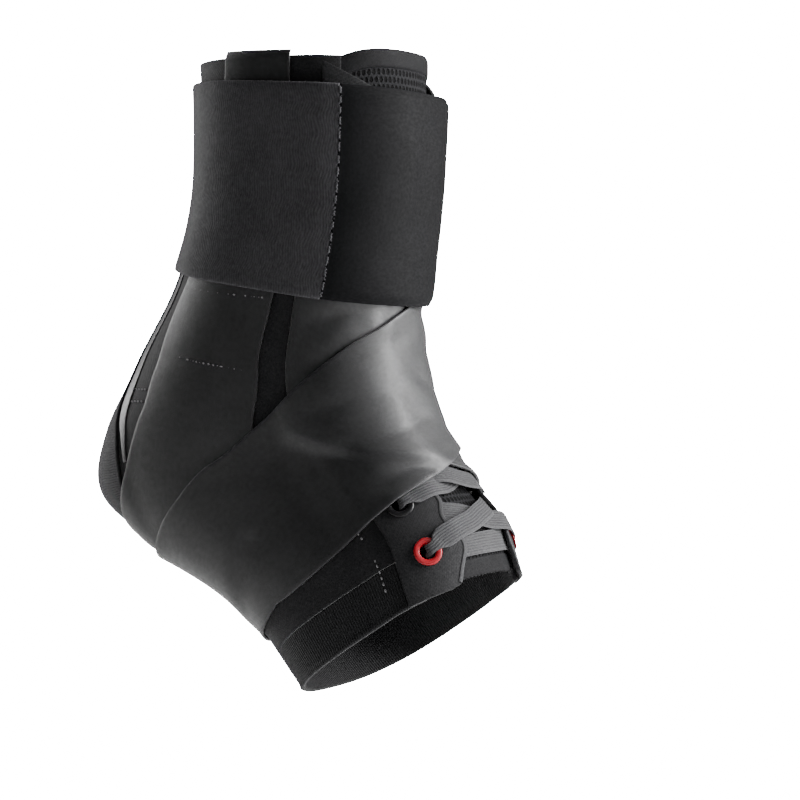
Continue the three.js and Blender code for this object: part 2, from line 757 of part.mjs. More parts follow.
// Middle line of the lace, from one end through every eyelet to the other end. Each spot has its
// place, its distance from the front line, its inner height and its width.
function laceSpots() {
  const eyeletDistance = lacingGap / 2 + eyeletInset;
  const spot = (up, across, rise, width) => ({
    along: alongUpFront(firstEyelet + up * eyeletPitch),
    distance: across * eyeletDistance,
    rise,
    width,
  });
  const climb = (firstSide, lift) => {
    const spots = [];
    let side = firstSide;
    for (let row = 0; row < eyeletRows; row++) {
      const isLast = row === eyeletRows - 1;
      for (const { up, across, rise, width } of laceThroughEyelet) {
        spots.push(spot(row + up, side * across, rise, width));
      }
      for (const { up, across, rise, width } of isLast ? laceTail : laceAcross) {
        const lifted = Math.abs(across) < 0.4 && !isLast ? lift : 0;
        spots.push(spot(row + up, side * across, rise + lifted, width));
      }
      side = -side;
    }
    return spots;
  };
  const barAcross = [-0.75, -0.45, -0.15, 0.15, 0.45, 0.75];
  const bar = barAcross.map((across) => spot(-0.025, across, laceBar, laceWidth));
  return [...climb(-1, 0).reverse(), ...bar, ...climb(1, laceWall + 3 * fitGap)];
}

function ribbon(spots, thickness, steps) {
  const value = (name, place) => spline(spots.map((entry) => entry[name]), place);
  const points = [];
  for (let i = 0; i <= steps; i++) {
    const place = i / steps;
    const along = value('along', place);
    const around = mirroredFor(along, value('distance', place));
    points.push({
      at: raised(along, around, value('rise', place) + thickness / 2),
      normal: directions(along, around).normal,
      half: value('width', place) / 2,
    });
  }
  const positions = [];
  const index = [];
  const between = (i, reach) => {
    const ahead = points[Math.min(i + reach, steps)].at;
    return ahead.clone().sub(points[Math.max(i - reach, 0)].at).normalize();
  };
  let lastSideways = null; // where the ribbon folds back, its edges stay on their sides
  points.forEach((point, i) => {
    const forward = between(i, 1);
    const sideways = new THREE.Vector3().crossVectors(point.normal, between(i, 2)).normalize();
    if (lastSideways && sideways.dot(lastSideways) < 0) sideways.negate();
    lastSideways = sideways;
    const upward = new THREE.Vector3().crossVectors(forward, sideways).normalize();
    for (const [across, up] of [[-1, -1], [1, -1], [1, 1], [-1, 1]]) {
      const corner = point.at.clone().addScaledVector(sideways, across * point.half);
      positions.push(...corner.addScaledVector(upward, (up * thickness) / 2).toArray());
    }
  });
  for (let i = 0; i < steps; i++) {
    for (let k = 0; k < 4; k++) {
      const a = 4 * i + k;
      const b = 4 * i + ((k + 1) % 4);
      index.push(a, b, b + 4, a, b + 4, a + 4);
    }
  }
  const end = 4 * steps;
  index.push(0, 2, 1, 0, 3, 2, end, end + 1, end + 2, end, end + 2, end + 3);
  const geometry = new THREE.BufferGeometry();
  geometry.setAttribute('position', new THREE.Float32BufferAttribute(positions, 3));
  geometry.setIndex(index);
  return facingOut(geometry);
}

function addLace() {
  const spots = laceSpots();
  add('lace', ribbon(spots, laceWall, spots.length - 1), laceFabric);
  const end = spots[spots.length - 1];
  const before = spots[spots.length - 2];
  const endUp = eyeletRows - 1 + laceTail[laceTail.length - 1].up;
  const beforeUp = eyeletRows - 1 + laceTail[laceTail.length - 2].up;
  for (const [name, side] of [['lace_tip_outer', 1], ['lace_tip_inner', -1]]) {
    const tip = [0, 0.5, 1].map((share) => {
      const further = (layerGap + share * tipLength) / eyeletPitch;
      const slope = (Math.abs(end.distance) - Math.abs(before.distance)) / (endUp - beforeUp);
      return {
        along: alongUpFront(firstEyelet + (endUp + further) * eyeletPitch),
        distance: side * (Math.abs(end.distance) + slope * further),
        rise: laceOver,
        width: 0.45 * laceWidth,
      };
    });
    add(name, ribbon(tip, 1.3 * laceWall, 2), tipPlastic);
  }
}

addTongue();
addSidePanel('side_panel_outer', 1);
addSidePanel('side_panel_inner', -1);
addHeelPanel();
addToeBand();
addFacing('facing_outer', 1);
addFacing('facing_inner', -1);
for (let row = 0; row < eyeletRows; row++) {
  addEyelet(`eyelet_outer_${row + 1}`, row, 1);
  addEyelet(`eyelet_inner_${row + 1}`, row, -1);
}
addLace();
addStraps();
addCuff();

export default brace;
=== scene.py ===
import math

import bmesh
import bpy
import numpy as np
from mathutils import Matrix, Vector


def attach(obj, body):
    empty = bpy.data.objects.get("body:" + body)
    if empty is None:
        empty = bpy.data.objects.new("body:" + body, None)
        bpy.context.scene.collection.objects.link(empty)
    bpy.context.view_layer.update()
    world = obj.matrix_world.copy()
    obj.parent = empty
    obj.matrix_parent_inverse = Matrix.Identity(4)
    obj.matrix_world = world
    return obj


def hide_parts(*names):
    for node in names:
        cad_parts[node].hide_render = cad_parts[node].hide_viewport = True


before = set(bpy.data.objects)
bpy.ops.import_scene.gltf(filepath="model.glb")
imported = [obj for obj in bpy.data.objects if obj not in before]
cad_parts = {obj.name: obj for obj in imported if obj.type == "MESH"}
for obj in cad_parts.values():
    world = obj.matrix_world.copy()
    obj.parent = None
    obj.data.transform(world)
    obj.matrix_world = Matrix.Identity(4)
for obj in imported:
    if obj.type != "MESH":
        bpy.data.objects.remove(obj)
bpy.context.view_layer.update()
print("frame loaded:", len(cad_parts), "nodes")

mm = 0.001  # sizes below are in millimetres, Blender works in metres

# The foot and leg inside the brace, ankle at the origin, toes to +X, outer side to -Y
foot = {
    "shaftHeight": 130,   # ankle up to the collar
    "shinReach": 52.4,    # ankle forward to the shin at the collar
    "calfReach": 32,
    "heelReach": 83,
    "instepReach": 87,    # ankle forward to the toe edge
    "instepDrop": 59,     # ankle down to the toe edge, on top
    "soleDrop": 103,      # the same under the sole
    "legWidth": 72,
    "footWidth": 78,
    "toeTurn": 2.2,       # degrees that the front line turns outwards towards the toes
}
shaft, shin, calf = foot["shaftHeight"], foot["shinReach"], foot["calfReach"]
heel, instep = foot["heelReach"], foot["instepReach"]
drop, sole = foot["instepDrop"], foot["soleDrop"]
leg, broad = foot["legWidth"], foot["footWidth"]

# Cross-sections from the collar round the heel to the toe edge
sections = [
    {"front": (1.0 * shin, 0.98 * shaft), "back": (-0.97 * calf, 1.0 * shaft),
     "half": 0.5 * leg, "widest": 0.5, "square": 2.1},
    {"front": (0.995 * shin, 0.83 * shaft), "back": (-0.94 * calf, 0.84 * shaft),
     "half": 0.5 * leg, "widest": 0.5, "square": 2.1},
    {"front": (0.955 * shin, 0.615 * shaft), "back": (-1.0 * calf, 0.6 * shaft),
     "half": 0.487 * leg, "widest": 0.5, "square": 2.1},
    {"front": (0.89 * shin, 0.4 * shaft), "back": (-1.34 * calf, 0.36 * shaft),
     "half": 0.48 * leg, "widest": 0.5, "square": 2.1},
    {"front": (0.84 * shin, 0.215 * shaft), "back": (-0.766 * heel, 0.123 * shaft),
     "half": 0.493 * leg, "widest": 0.52, "square": 2.1},
    {"front": (0.56 * instep, 0.12 * drop), "back": (-0.965 * heel, -0.1 * sole),
     "half": 0.5 * leg, "widest": 0.5, "square": 2.15},
    {"front": (0.655 * instep, -0.19 * drop), "back": (-1.0 * heel, -0.33 * sole),
     "half": 0.45 * broad, "widest": 0.48, "square": 2.2},
    {"front": (0.805 * instep, -0.46 * drop), "back": (-0.65 * heel, -0.505 * sole),
     "half": 0.45 * broad, "widest": 0.46, "square": 2.3},
    {"front": (0.945 * instep, -0.71 * drop), "back": (-0.145 * heel, -0.69 * sole),
     "half": 0.475 * broad, "widest": 0.44, "square": 2.4},
    {"front": (1.0 * instep, -1.0 * drop), "back": (0.24 * instep, -1.0 * sole),
     "half": 0.5 * broad, "widest": 0.44, "square": 2.5},
]


def splineAt(values, place):
    values = np.asarray(values, float)
    last = len(values) - 1
    padded = np.concatenate([[2 * values[0] - values[1]], values, [2 * values[-1] - values[-2]]])
    scaled = np.clip(place, 0, 1) * last
    index = np.minimum(scaled.astype(int), last - 1)
    t = scaled - index
    a, b, c, d = (padded[index + k] for k in range(4))
    return 0.5 * (2 * b + (c - a) * t + (2 * a - 5 * b + 4 * c - d) * t**2 + (3 * b - a - 3 * c + d) * t**3)


def mix(a, b, share):
    return a + (b - a) * share


def ease(x, low, high):
    t = np.clip((x - low) / (high - low), 0, 1)
    return t * t * (3 - 2 * t)


columns = {
    "frontX": [row["front"][0] for row in sections],
    "frontZ": [row["front"][1] for row in sections],
    "backX": [row["back"][0] for row in sections],
    "backZ": [row["back"][1] for row in sections],
    "half": [row["half"] for row in sections],
    "widest": [row["widest"] for row in sections],
    "square": [row["square"] for row in sections],
}


def sectionPoint(along, around):
    power = 2 / splineAt(columns["square"], along)
    turned = np.radians(around + foot["toeTurn"] * ease(along, 0.6, 1))
    cosine, sine = np.cos(turned), np.sin(turned)
    reach = np.sign(cosine) * np.abs(cosine) ** power
    side = np.sign(sine) * np.abs(sine) ** power
    widest = splineAt(columns["widest"], along)
    share = widest + reach * np.where(reach > 0, 1 - widest, widest)
    x = mix(splineAt(columns["backX"], along), splineAt(columns["frontX"], along), share)
    z = mix(splineAt(columns["backZ"], along), splineAt(columns["frontZ"], along), share)
    return np.stack([x, -splineAt(columns["half"], along) * side, z], -1)


# A point of the foot. along is 0 at the collar and 1 at the toe edge, around is degrees from the
# front over the outer side. Beyond both ends the surface runs on straight.
def footPoint(along, around):
    along, around = np.broadcast_arrays(np.asarray(along, float), np.asarray(around, float))
    inside = np.clip(along, 0, 1)
    point = sectionPoint(inside, around)
    nudge = 0.01
    slope = (sectionPoint(np.clip(inside + nudge, 0, 1), around) - sectionPoint(np.clip(inside - nudge, 0, 1), around)) / nudge
    return point + slope * (along - inside)[..., None]


def directions(along, around):
    step, turn = 0.002, 0.5
    middle = np.minimum(along, 1 - step)
    down = (footPoint(middle + step, around) - footPoint(middle - step, around)) / (2 * step)
    turned = (footPoint(along, around + turn) - footPoint(along, around - turn)) / (2 * turn)
    normal = np.cross(turned, down)
    return down, turned, normal / np.linalg.norm(normal, axis=-1, keepdims=True)


def raised(along, around, height):
    along, around = np.broadcast_arrays(np.asarray(along, float), np.asarray(around, float))
    return footPoint(along, around) + directions(along, around)[2] * np.asarray(height)[..., None]


def length(vectors):
    return np.linalg.norm(vectors, axis=-1)


# Degrees round from the front at a distance over the surface
def aroundFor(along, distance, steps=12):
    along, distance = np.broadcast_arrays(np.asarray(along, float), np.asarray(distance, float))
    around = np.zeros(along.shape)
    for _ in range(steps):
        pace = length(footPoint(along, around + 1) - footPoint(along, around - 1)) / 2
        around = around + distance / steps / pace
    return around


# The inner side mirrors the outer one
def mirroredFor(along, distance):
    return np.sign(distance) * aroundFor(along, np.abs(distance))


def distanceFor(along, around, steps=8):
    total = np.zeros(np.broadcast(along, around).shape)
    for i in range(steps):
        total = total + length(footPoint(along, around * (i + 1) / steps) - footPoint(along, around * i / steps))
    return total


frontAlongs = np.linspace(1, -0.1, 441)
frontPoints = footPoint(frontAlongs, 0)
frontDistances = np.concatenate([[0], np.cumsum(length(np.diff(frontPoints, axis=0)))])
frontLength = float(np.interp(0, -frontAlongs, frontDistances))


def alongUpFront(distance):
    return np.interp(distance, frontDistances, frontAlongs)


# Moves places on the foot by tangent vectors
def stepped(along, around, vector):
    down, turned, _ = directions(along, around)
    a, b, c = (down * down).sum(-1), (down * turned).sum(-1), (turned * turned).sum(-1)
    p, q = (vector * down).sum(-1), (vector * turned).sum(-1)
    bottom = a * c - b * b
    return along + (c * p - b * q) / bottom, around + (a * q - b * p) / bottom


# Height above the foot of all that is laid so far, on a grid of places
field = {
    "rows": 460,
    "columns": 720,
    "top": -0.04,
    "rowStep": 0.62,      # usual size of a cell down the boot
    "columnStep": 0.36,   # and round it
}
laid = np.zeros((field["rows"], field["columns"]))


def cellAt(along, around):
    row = (along - field["top"]) / (1 - field["top"]) * (field["rows"] - 1)
    return np.clip(row, 0, field["rows"] - 1.001), np.mod(around / 360 * field["columns"], field["columns"])


def stamp(target, along, around, height):
    row, column = cellAt(along, around)
    height = np.broadcast_to(height, row.shape)
    for down in (0, 1):
        for across in (0, 1):
            index = (np.floor(row).astype(int) + down, (np.floor(column).astype(int) + across) % field["columns"])
            np.maximum.at(target, index, height)


def sampled(values, along, around):
    row, column = cellAt(along, around)
    i, j = np.floor(row).astype(int), np.floor(column).astype(int) % field["columns"]
    s, t = row - i, column - np.floor(column)
    k = (j + 1) % field["columns"]
    return mix(mix(values[i, j], values[i, k], t), mix(values[i + 1, j], values[i + 1, k], t), s)


def shifted(values, rows, around):
    moved = np.roll(values, around, axis=1)
    index = np.clip(np.arange(len(values)) - rows, 0, len(values) - 1)
    return moved[index]


# What a taut cloth would rest on: the highest point near each place, then softened
def bridged(values, reach, blur):
    result = values
    for step, axis in ((field["rowStep"], 0), (field["columnStep"], 1)):
        count = round(reach / step)
        highest = result
        for k in range(1, count + 1):
            for sign in (-k, k):
                highest = np.maximum(highest, shifted(result, *((sign, 0) if axis == 0 else (0, sign))))
        result = highest
    for _ in range(3):
        for step, axis in ((field["rowStep"], 0), (field["columnStep"], 1)):
            count = max(1, round(blur / step))
            total = result.copy()
            for k in range(1, count + 1):
                for sign in (-k, k):
                    total += shifted(result, *((sign, 0) if axis == 0 else (0, sign)))
            result = total / (2 * count + 1)
    return result


# Soft uneven waves from a few sines, the same on each run
def ripples(u, v, scaleU, scaleV, seed, count=7):
    rng = np.random.default_rng(seed)
    total = np.zeros(np.shape(u))
    for _ in range(count):
        turn = rng.uniform(-0.5, 0.5)
        pace = rng.uniform(0.6, 1.7)
        phase = rng.uniform(0, 2 * math.pi)
        total = total + np.sin(2 * math.pi * pace * (u / scaleU + turn * v / scaleV) + phase + 1.3 * np.sin(v / scaleV * 4 + phase))
    return total / count


# Each mesh carries cloth coordinates: along and across the fabric in millimetres, and the distance
# to its edge.
def clothSizes(points):
    alongCloth = np.concatenate([np.zeros((1, points.shape[1])), np.cumsum(length(np.diff(points, axis=0)), axis=0)])
    acrossCloth = np.concatenate([np.zeros((points.shape[0], 1)), np.cumsum(length(np.diff(points, axis=1)), axis=1)], 1)
    middle = points.shape[1] // 2
    alongCloth = np.broadcast_to(alongCloth[:, middle:middle + 1], acrossCloth.shape)
    total = acrossCloth[:, -1:]
    toEdge = np.minimum(np.minimum(acrossCloth, total - acrossCloth), np.minimum(alongCloth, alongCloth[-1:] - alongCloth))
    return np.stack([alongCloth, acrossCloth - total / 2, toEdge], -1)


def finishPiece(name, bm, material, replaces=()):
    mesh = bpy.data.meshes.new(name)
    bm.to_mesh(mesh)
    bm.free()
    mesh.polygons.foreach_set("use_smooth", np.ones(len(mesh.polygons), bool))
    piece = bpy.data.objects.new(name, mesh)
    bpy.context.scene.collection.objects.link(piece)
    mesh.materials.append(material)
    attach(piece, "root")
    if replaces:
        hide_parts(*replaces)
    print("made", name, len(mesh.polygons), "faces")
    return piece


# A closed sheet of fabric over a grid of places. keep says which grid squares stay.
def sheetMesh(along, around, inner, outer, rim=0.3, keep=None):
    rows, across = along.shape
    inside, outside = raised(along, around, inner) * mm, raised(along, around, outer) * mm
    cloth = clothSizes(outside / mm)
    bm = bmesh.new()
    bmesh.ops.create_grid(bm, x_segments=across - 1, y_segments=rows - 1, size=0.5)
    gridPlace = lambda co: (round((co.y + 0.5) * (rows - 1)), round((co.x + 0.5) * (across - 1)))
    clothLayer = bm.verts.layers.float_vector.new("cloth")
    outerLayer = bm.verts.layers.int.new("outer")
    for vert in bm.verts:
        vert[clothLayer] = cloth[gridPlace(vert.co)]
    if keep is not None:
        squares = lambda face: gridPlace(face.calc_center_median() - Vector((0.5 / (across - 1), 0.5 / (rows - 1), 0)))
        gone = [face for face in bm.faces if not keep[squares(face)]]
        bmesh.ops.delete(bm, geom=gone, context="FACES")
    lifted = bmesh.ops.extrude_face_region(bm, geom=bm.faces[:])["geom"]
    for vert in lifted:
        if isinstance(vert, bmesh.types.BMVert):
            vert[outerLayer] = 1
    for vert in bm.verts:
        place = gridPlace(vert.co)
        vert.co = outside[place] if vert[outerLayer] else inside[place]
    bmesh.ops.recalc_face_normals(bm, faces=bm.faces[:])
    sides = [face for face in bm.faces if len({vert[outerLayer] for vert in face.verts}) == 2]
    edges = {edge for face in sides for edge in face.edges if edge.verts[0][outerLayer] == edge.verts[1][outerLayer]}
    bmesh.ops.bevel(bm, geom=list(edges), offset=rim * mm, affect="EDGES", segments=2, profile=0.5, material=-1, clamp_overlap=True)
    return bm


# Shader helpers
def newMaterial(name):
    material = bpy.data.materials.new(name)
    material.use_nodes = True
    return material, material.node_tree.nodes, material.node_tree.links


def mathNode(nodes, links, kind, first, second=None, third=None):
    node = nodes.new("ShaderNodeMath")
    node.operation = kind
    for index, value in enumerate((first, second, third)):
        if value is None:
            continue
        if isinstance(value, (int, float)):
            node.inputs[index].default_value = value
        else:
            links.new(value, node.inputs[index])
    return node.outputs[0]


def newGroup(name, inputs, outputs):
    group = bpy.data.node_groups.new(name, "ShaderNodeTree")
    for label, kind, value in inputs:
        socket = group.interface.new_socket(label, in_out="INPUT", socket_type=kind)
        if value is not None:
            socket.default_value = value
    for label, kind in outputs:
        group.interface.new_socket(label, in_out="OUTPUT", socket_type=kind)
    return group, group.nodes.new("NodeGroupInput"), group.nodes.new("NodeGroupOutput")


# Threads crossing over and under each other, on cloth coordinates
def weaveGroup():
    group, given, made = newGroup(
        "clothWeave",
        [("Vector", "NodeSocketVector", None), ("Pitch", "NodeSocketFloat", 0.6), ("Slant", "NodeSocketFloat", 0.0)],
        [("Height", "NodeSocketFloat"), ("Thread", "NodeSocketFloat")],
    )
    nodes, links = group.nodes, group.links
    split = nodes.new("ShaderNodeSeparateXYZ")
    links.new(given.outputs["Vector"], split.inputs[0])
    calc = lambda *args: mathNode(nodes, links, *args)
    slanted = calc("MULTIPLY_ADD", split.outputs[1], given.outputs["Slant"], split.outputs[0])
    u = calc("MULTIPLY", calc("DIVIDE", slanted, given.outputs["Pitch"]), math.pi)
    v = calc("MULTIPLY", calc("DIVIDE", split.outputs[1], given.outputs["Pitch"]), math.pi)
    sineU, sineV = calc("SINE", u), calc("SINE", v)
    over = calc("GREATER_THAN", calc("MULTIPLY", sineU, sineV), 0.0)
    warp, weft = calc("ABSOLUTE", sineU), calc("ABSOLUTE", sineV)
    crown = calc("ADD", calc("MULTIPLY", over, warp), calc("MULTIPLY", calc("SUBTRACT", 1.0, over), weft))
    links.new(calc("POWER", crown, 0.6), made.inputs["Height"])
    links.new(over, made.inputs["Thread"])
    return group


# Knitted ribs that wander a little, on cloth coordinates
def knitGroup():
    group, given, made = newGroup(
        "ribKnit",
        [("Vector", "NodeSocketVector", None), ("Pitch", "NodeSocketFloat", 1.2), ("Sway", "NodeSocketFloat", 0.5),
         ("Wander", "NodeSocketFloat", 3.0)],
        [("Height", "NodeSocketFloat")],
    )
    nodes, links = group.nodes, group.links
    calc = lambda *args: mathNode(nodes, links, *args)
    noise = nodes.new("ShaderNodeTexNoise")
    noise.inputs["Scale"].default_value = 0.12
    noise.inputs["Detail"].default_value = 2
    links.new(given.outputs["Vector"], noise.inputs["Vector"])
    split = nodes.new("ShaderNodeSeparateXYZ")
    links.new(given.outputs["Vector"], split.inputs[0])
    sway = calc("MULTIPLY", calc("SINE", calc("MULTIPLY", split.outputs[1], 0.55)), given.outputs["Sway"])
    wander = calc("MULTIPLY", noise.outputs[0], given.outputs["Wander"])
    place = calc("ADD", calc("ADD", split.outputs[0], sway), wander)
    wave = calc("SINE", calc("DIVIDE", calc("MULTIPLY", place, 2 * math.pi), given.outputs["Pitch"]))
    links.new(calc("MULTIPLY_ADD", wave, 0.5, 0.5), made.inputs["Height"])
    return group


# Air mesh: rows of rounded holes, every other row shifted by half a hole, on cloth coordinates
def airMeshGroup():
    group, given, made = newGroup(
        "airMesh",
        [("Vector", "NodeSocketVector", None), ("Spacing", "NodeSocketFloat", 2.0), ("Length", "NodeSocketFloat", 2.8),
         ("Hole", "NodeSocketFloat", 0.58)],
        [("Height", "NodeSocketFloat")],
    )
    nodes, links = group.nodes, group.links
    calc = lambda *args: mathNode(nodes, links, *args)
    split = nodes.new("ShaderNodeSeparateXYZ")
    links.new(given.outputs["Vector"], split.inputs[0])
    down = calc("DIVIDE", split.outputs[0], given.outputs["Length"])
    shift = calc("MULTIPLY", calc("MODULO", calc("FLOOR", down), 2.0), 0.5)
    across = calc("ADD", calc("DIVIDE", split.outputs[1], given.outputs["Spacing"]), shift)
    sides = [calc("SUBTRACT", calc("FRACT", place), 0.5) for place in (across, down)]
    squares = [calc("MULTIPLY", side, side) for side in sides]
    reach = calc("MULTIPLY", calc("SQRT", calc("ADD", *squares)), 2.0)
    yarn = nodes.new("ShaderNodeMapRange")
    yarn.interpolation_type = "SMOOTHSTEP"
    links.new(reach, yarn.inputs["Value"])
    links.new(given.outputs["Hole"], yarn.inputs["From Min"])
    links.new(calc("ADD", given.outputs["Hole"], 0.3), yarn.inputs["From Max"])
    links.new(yarn.outputs[0], made.inputs["Height"])
    return group


# Cloudy lighter and darker areas where fabric is rubbed or stretched
def cloudGroup():
    group, given, made = newGroup(
        "cloudiness",
        [("Vector", "NodeSocketVector", None), ("Size", "NodeSocketFloat", 12.0)],
        [("Cloud", "NodeSocketFloat"), ("Fleck", "NodeSocketFloat")],
    )
    nodes, links = group.nodes, group.links
    calc = lambda *args: mathNode(nodes, links, *args)
    for label, share, detail in (("Cloud", 1.0, 3), ("Fleck", 0.06, 4)):
        noise = nodes.new("ShaderNodeTexNoise")
        noise.inputs["Detail"].default_value = detail
        links.new(given.outputs["Vector"], noise.inputs["Vector"])
        scale = calc("DIVIDE", 1.0, calc("MULTIPLY", given.outputs["Size"], share))
        links.new(scale, noise.inputs["Scale"])
        spread = nodes.new("ShaderNodeMapRange")
        spread.inputs["From Min"].default_value = 0.32
        spread.inputs["From Max"].default_value = 0.68
        links.new(noise.outputs[0], spread.inputs["Value"])
        links.new(spread.outputs[0], made.inputs[label])
    return group


# Paler line along a fabric's edge, from the distance to it: partly rubbed wear, partly painted highlight where the
# rounded rim catches light
def edgeGroup():
    group, given, made = newGroup(
        "edgeWearAndHighlight",
        [("Vector", "NodeSocketVector", None), ("Width", "NodeSocketFloat", 1.2)],
        [("Edge", "NodeSocketFloat")],
    )
    nodes, links = group.nodes, group.links
    calc = lambda *args: mathNode(nodes, links, *args)
    split = nodes.new("ShaderNodeSeparateXYZ")
    links.new(given.outputs["Vector"], split.inputs[0])
    noise = nodes.new("ShaderNodeTexNoise")
    noise.inputs["Scale"].default_value = 0.5
    links.new(given.outputs["Vector"], noise.inputs["Vector"])
    wide = calc("MULTIPLY", given.outputs["Width"], calc("ADD", noise.outputs[0], 0.5))
    share = calc("DIVIDE", split.outputs[2], wide)
    links.new(calc("SUBTRACT", 1.0, calc("MINIMUM", share, 1.0)), made.inputs["Edge"])
    return group


groups = {"weave": weaveGroup(), "knit": knitGroup(), "airMesh": airMeshGroup(), "cloud": cloudGroup(), "edge": edgeGroup()}


def groupNode(nodes, links, name, vector, **values):
    node = nodes.new("ShaderNodeGroup")
    node.node_tree = groups[name]
    links.new(vector, node.inputs["Vector"])
    for label, value in values.items():
        node.inputs[label.capitalize()].default_value = value
    return node


# Fabric with a weave or knit, clouds, flecks and a paler edge line that is partly wear and partly painted highlight.
# look holds its values.
def fabricMaterial(name, look):
    material, nodes, links = newMaterial(name)
    shader = nodes["Principled BSDF"]
    cloth = nodes.new("ShaderNodeAttribute")
    cloth.attribute_name = "cloth"
    vector = cloth.outputs["Vector"]
    calc = lambda *args: mathNode(nodes, links, *args)
    cloud = groupNode(nodes, links, "cloud", vector, size=look["cloudSize"])
    edge = groupNode(nodes, links, "edge", vector, width=look.get("edgeWidth", 1.0))
    if look["pattern"] == "weave":
        pattern = groupNode(nodes, links, "weave", vector, pitch=look["pitch"], slant=look.get("slant", 0.0))
    elif look["pattern"] == "braid":    # ribs that run along the cloth
        split, turned = nodes.new("ShaderNodeSeparateXYZ"), nodes.new("ShaderNodeCombineXYZ")
        links.new(vector, split.inputs[0])
        for source, target in ((0, 1), (1, 0), (2, 2)):
            links.new(split.outputs[source], turned.inputs[target])
        pattern = groupNode(nodes, links, "knit", turned.outputs[0], pitch=look["pitch"], sway=look["sway"], wander=look["wander"])
    elif look["pattern"] == "airMesh":
        pattern = groupNode(nodes, links, "airMesh", vector, spacing=look["pitch"], length=look["holeStep"])
    else:
        pattern = groupNode(nodes, links, "knit", vector, pitch=look["pitch"], sway=look["sway"], wander=look["wander"])
    shade = calc("MULTIPLY", cloud.outputs["Cloud"], look["cloudShare"])
    shade = calc("MULTIPLY_ADD", cloud.outputs["Fleck"], look["fleckShare"], shade)
    shade = calc("MULTIPLY_ADD", pattern.outputs["Height"], look["patternShare"], shade)
    # the edge line lightens the colour near each edge: partly rubbed wear, partly a painted highlight on the rim
    shade = calc("MULTIPLY_ADD", edge.outputs["Edge"], look.get("edgeWearHighlightShare", 0.3), shade)
    tint = nodes.new("ShaderNodeMix")
    tint.data_type = "RGBA"
    tint.inputs["A"].default_value = (*look["dark"], 1)
    tint.inputs["B"].default_value = (*look["light"], 1)
    links.new(shade, tint.inputs["Factor"])
    links.new(tint.outputs["Result"], shader.inputs["Base Color"])
    rough = calc("MULTIPLY_ADD", cloud.outputs["Fleck"], -0.12, look["roughness"])
    links.new(rough, shader.inputs["Roughness"])
    height = calc("MULTIPLY_ADD", cloud.outputs["Fleck"], 0.25, pattern.outputs["Height"])
    bump = nodes.new("ShaderNodeBump")
    bump.inputs["Strength"].default_value = look["bump"]
    bump.inputs["Distance"].default_value = look["relief"] * mm
    links.new(height, bump.inputs["Height"])
    links.new(bump.outputs["Normal"], shader.inputs["Normal"])
    shader.inputs["Sheen Weight"].default_value = look.get("sheen", 0.1)
    shader.inputs["Sheen Roughness"].default_value = 0.5
    shader.inputs["Specular IOR Level"].default_value = look.get("gloss", 0.3)
    return material


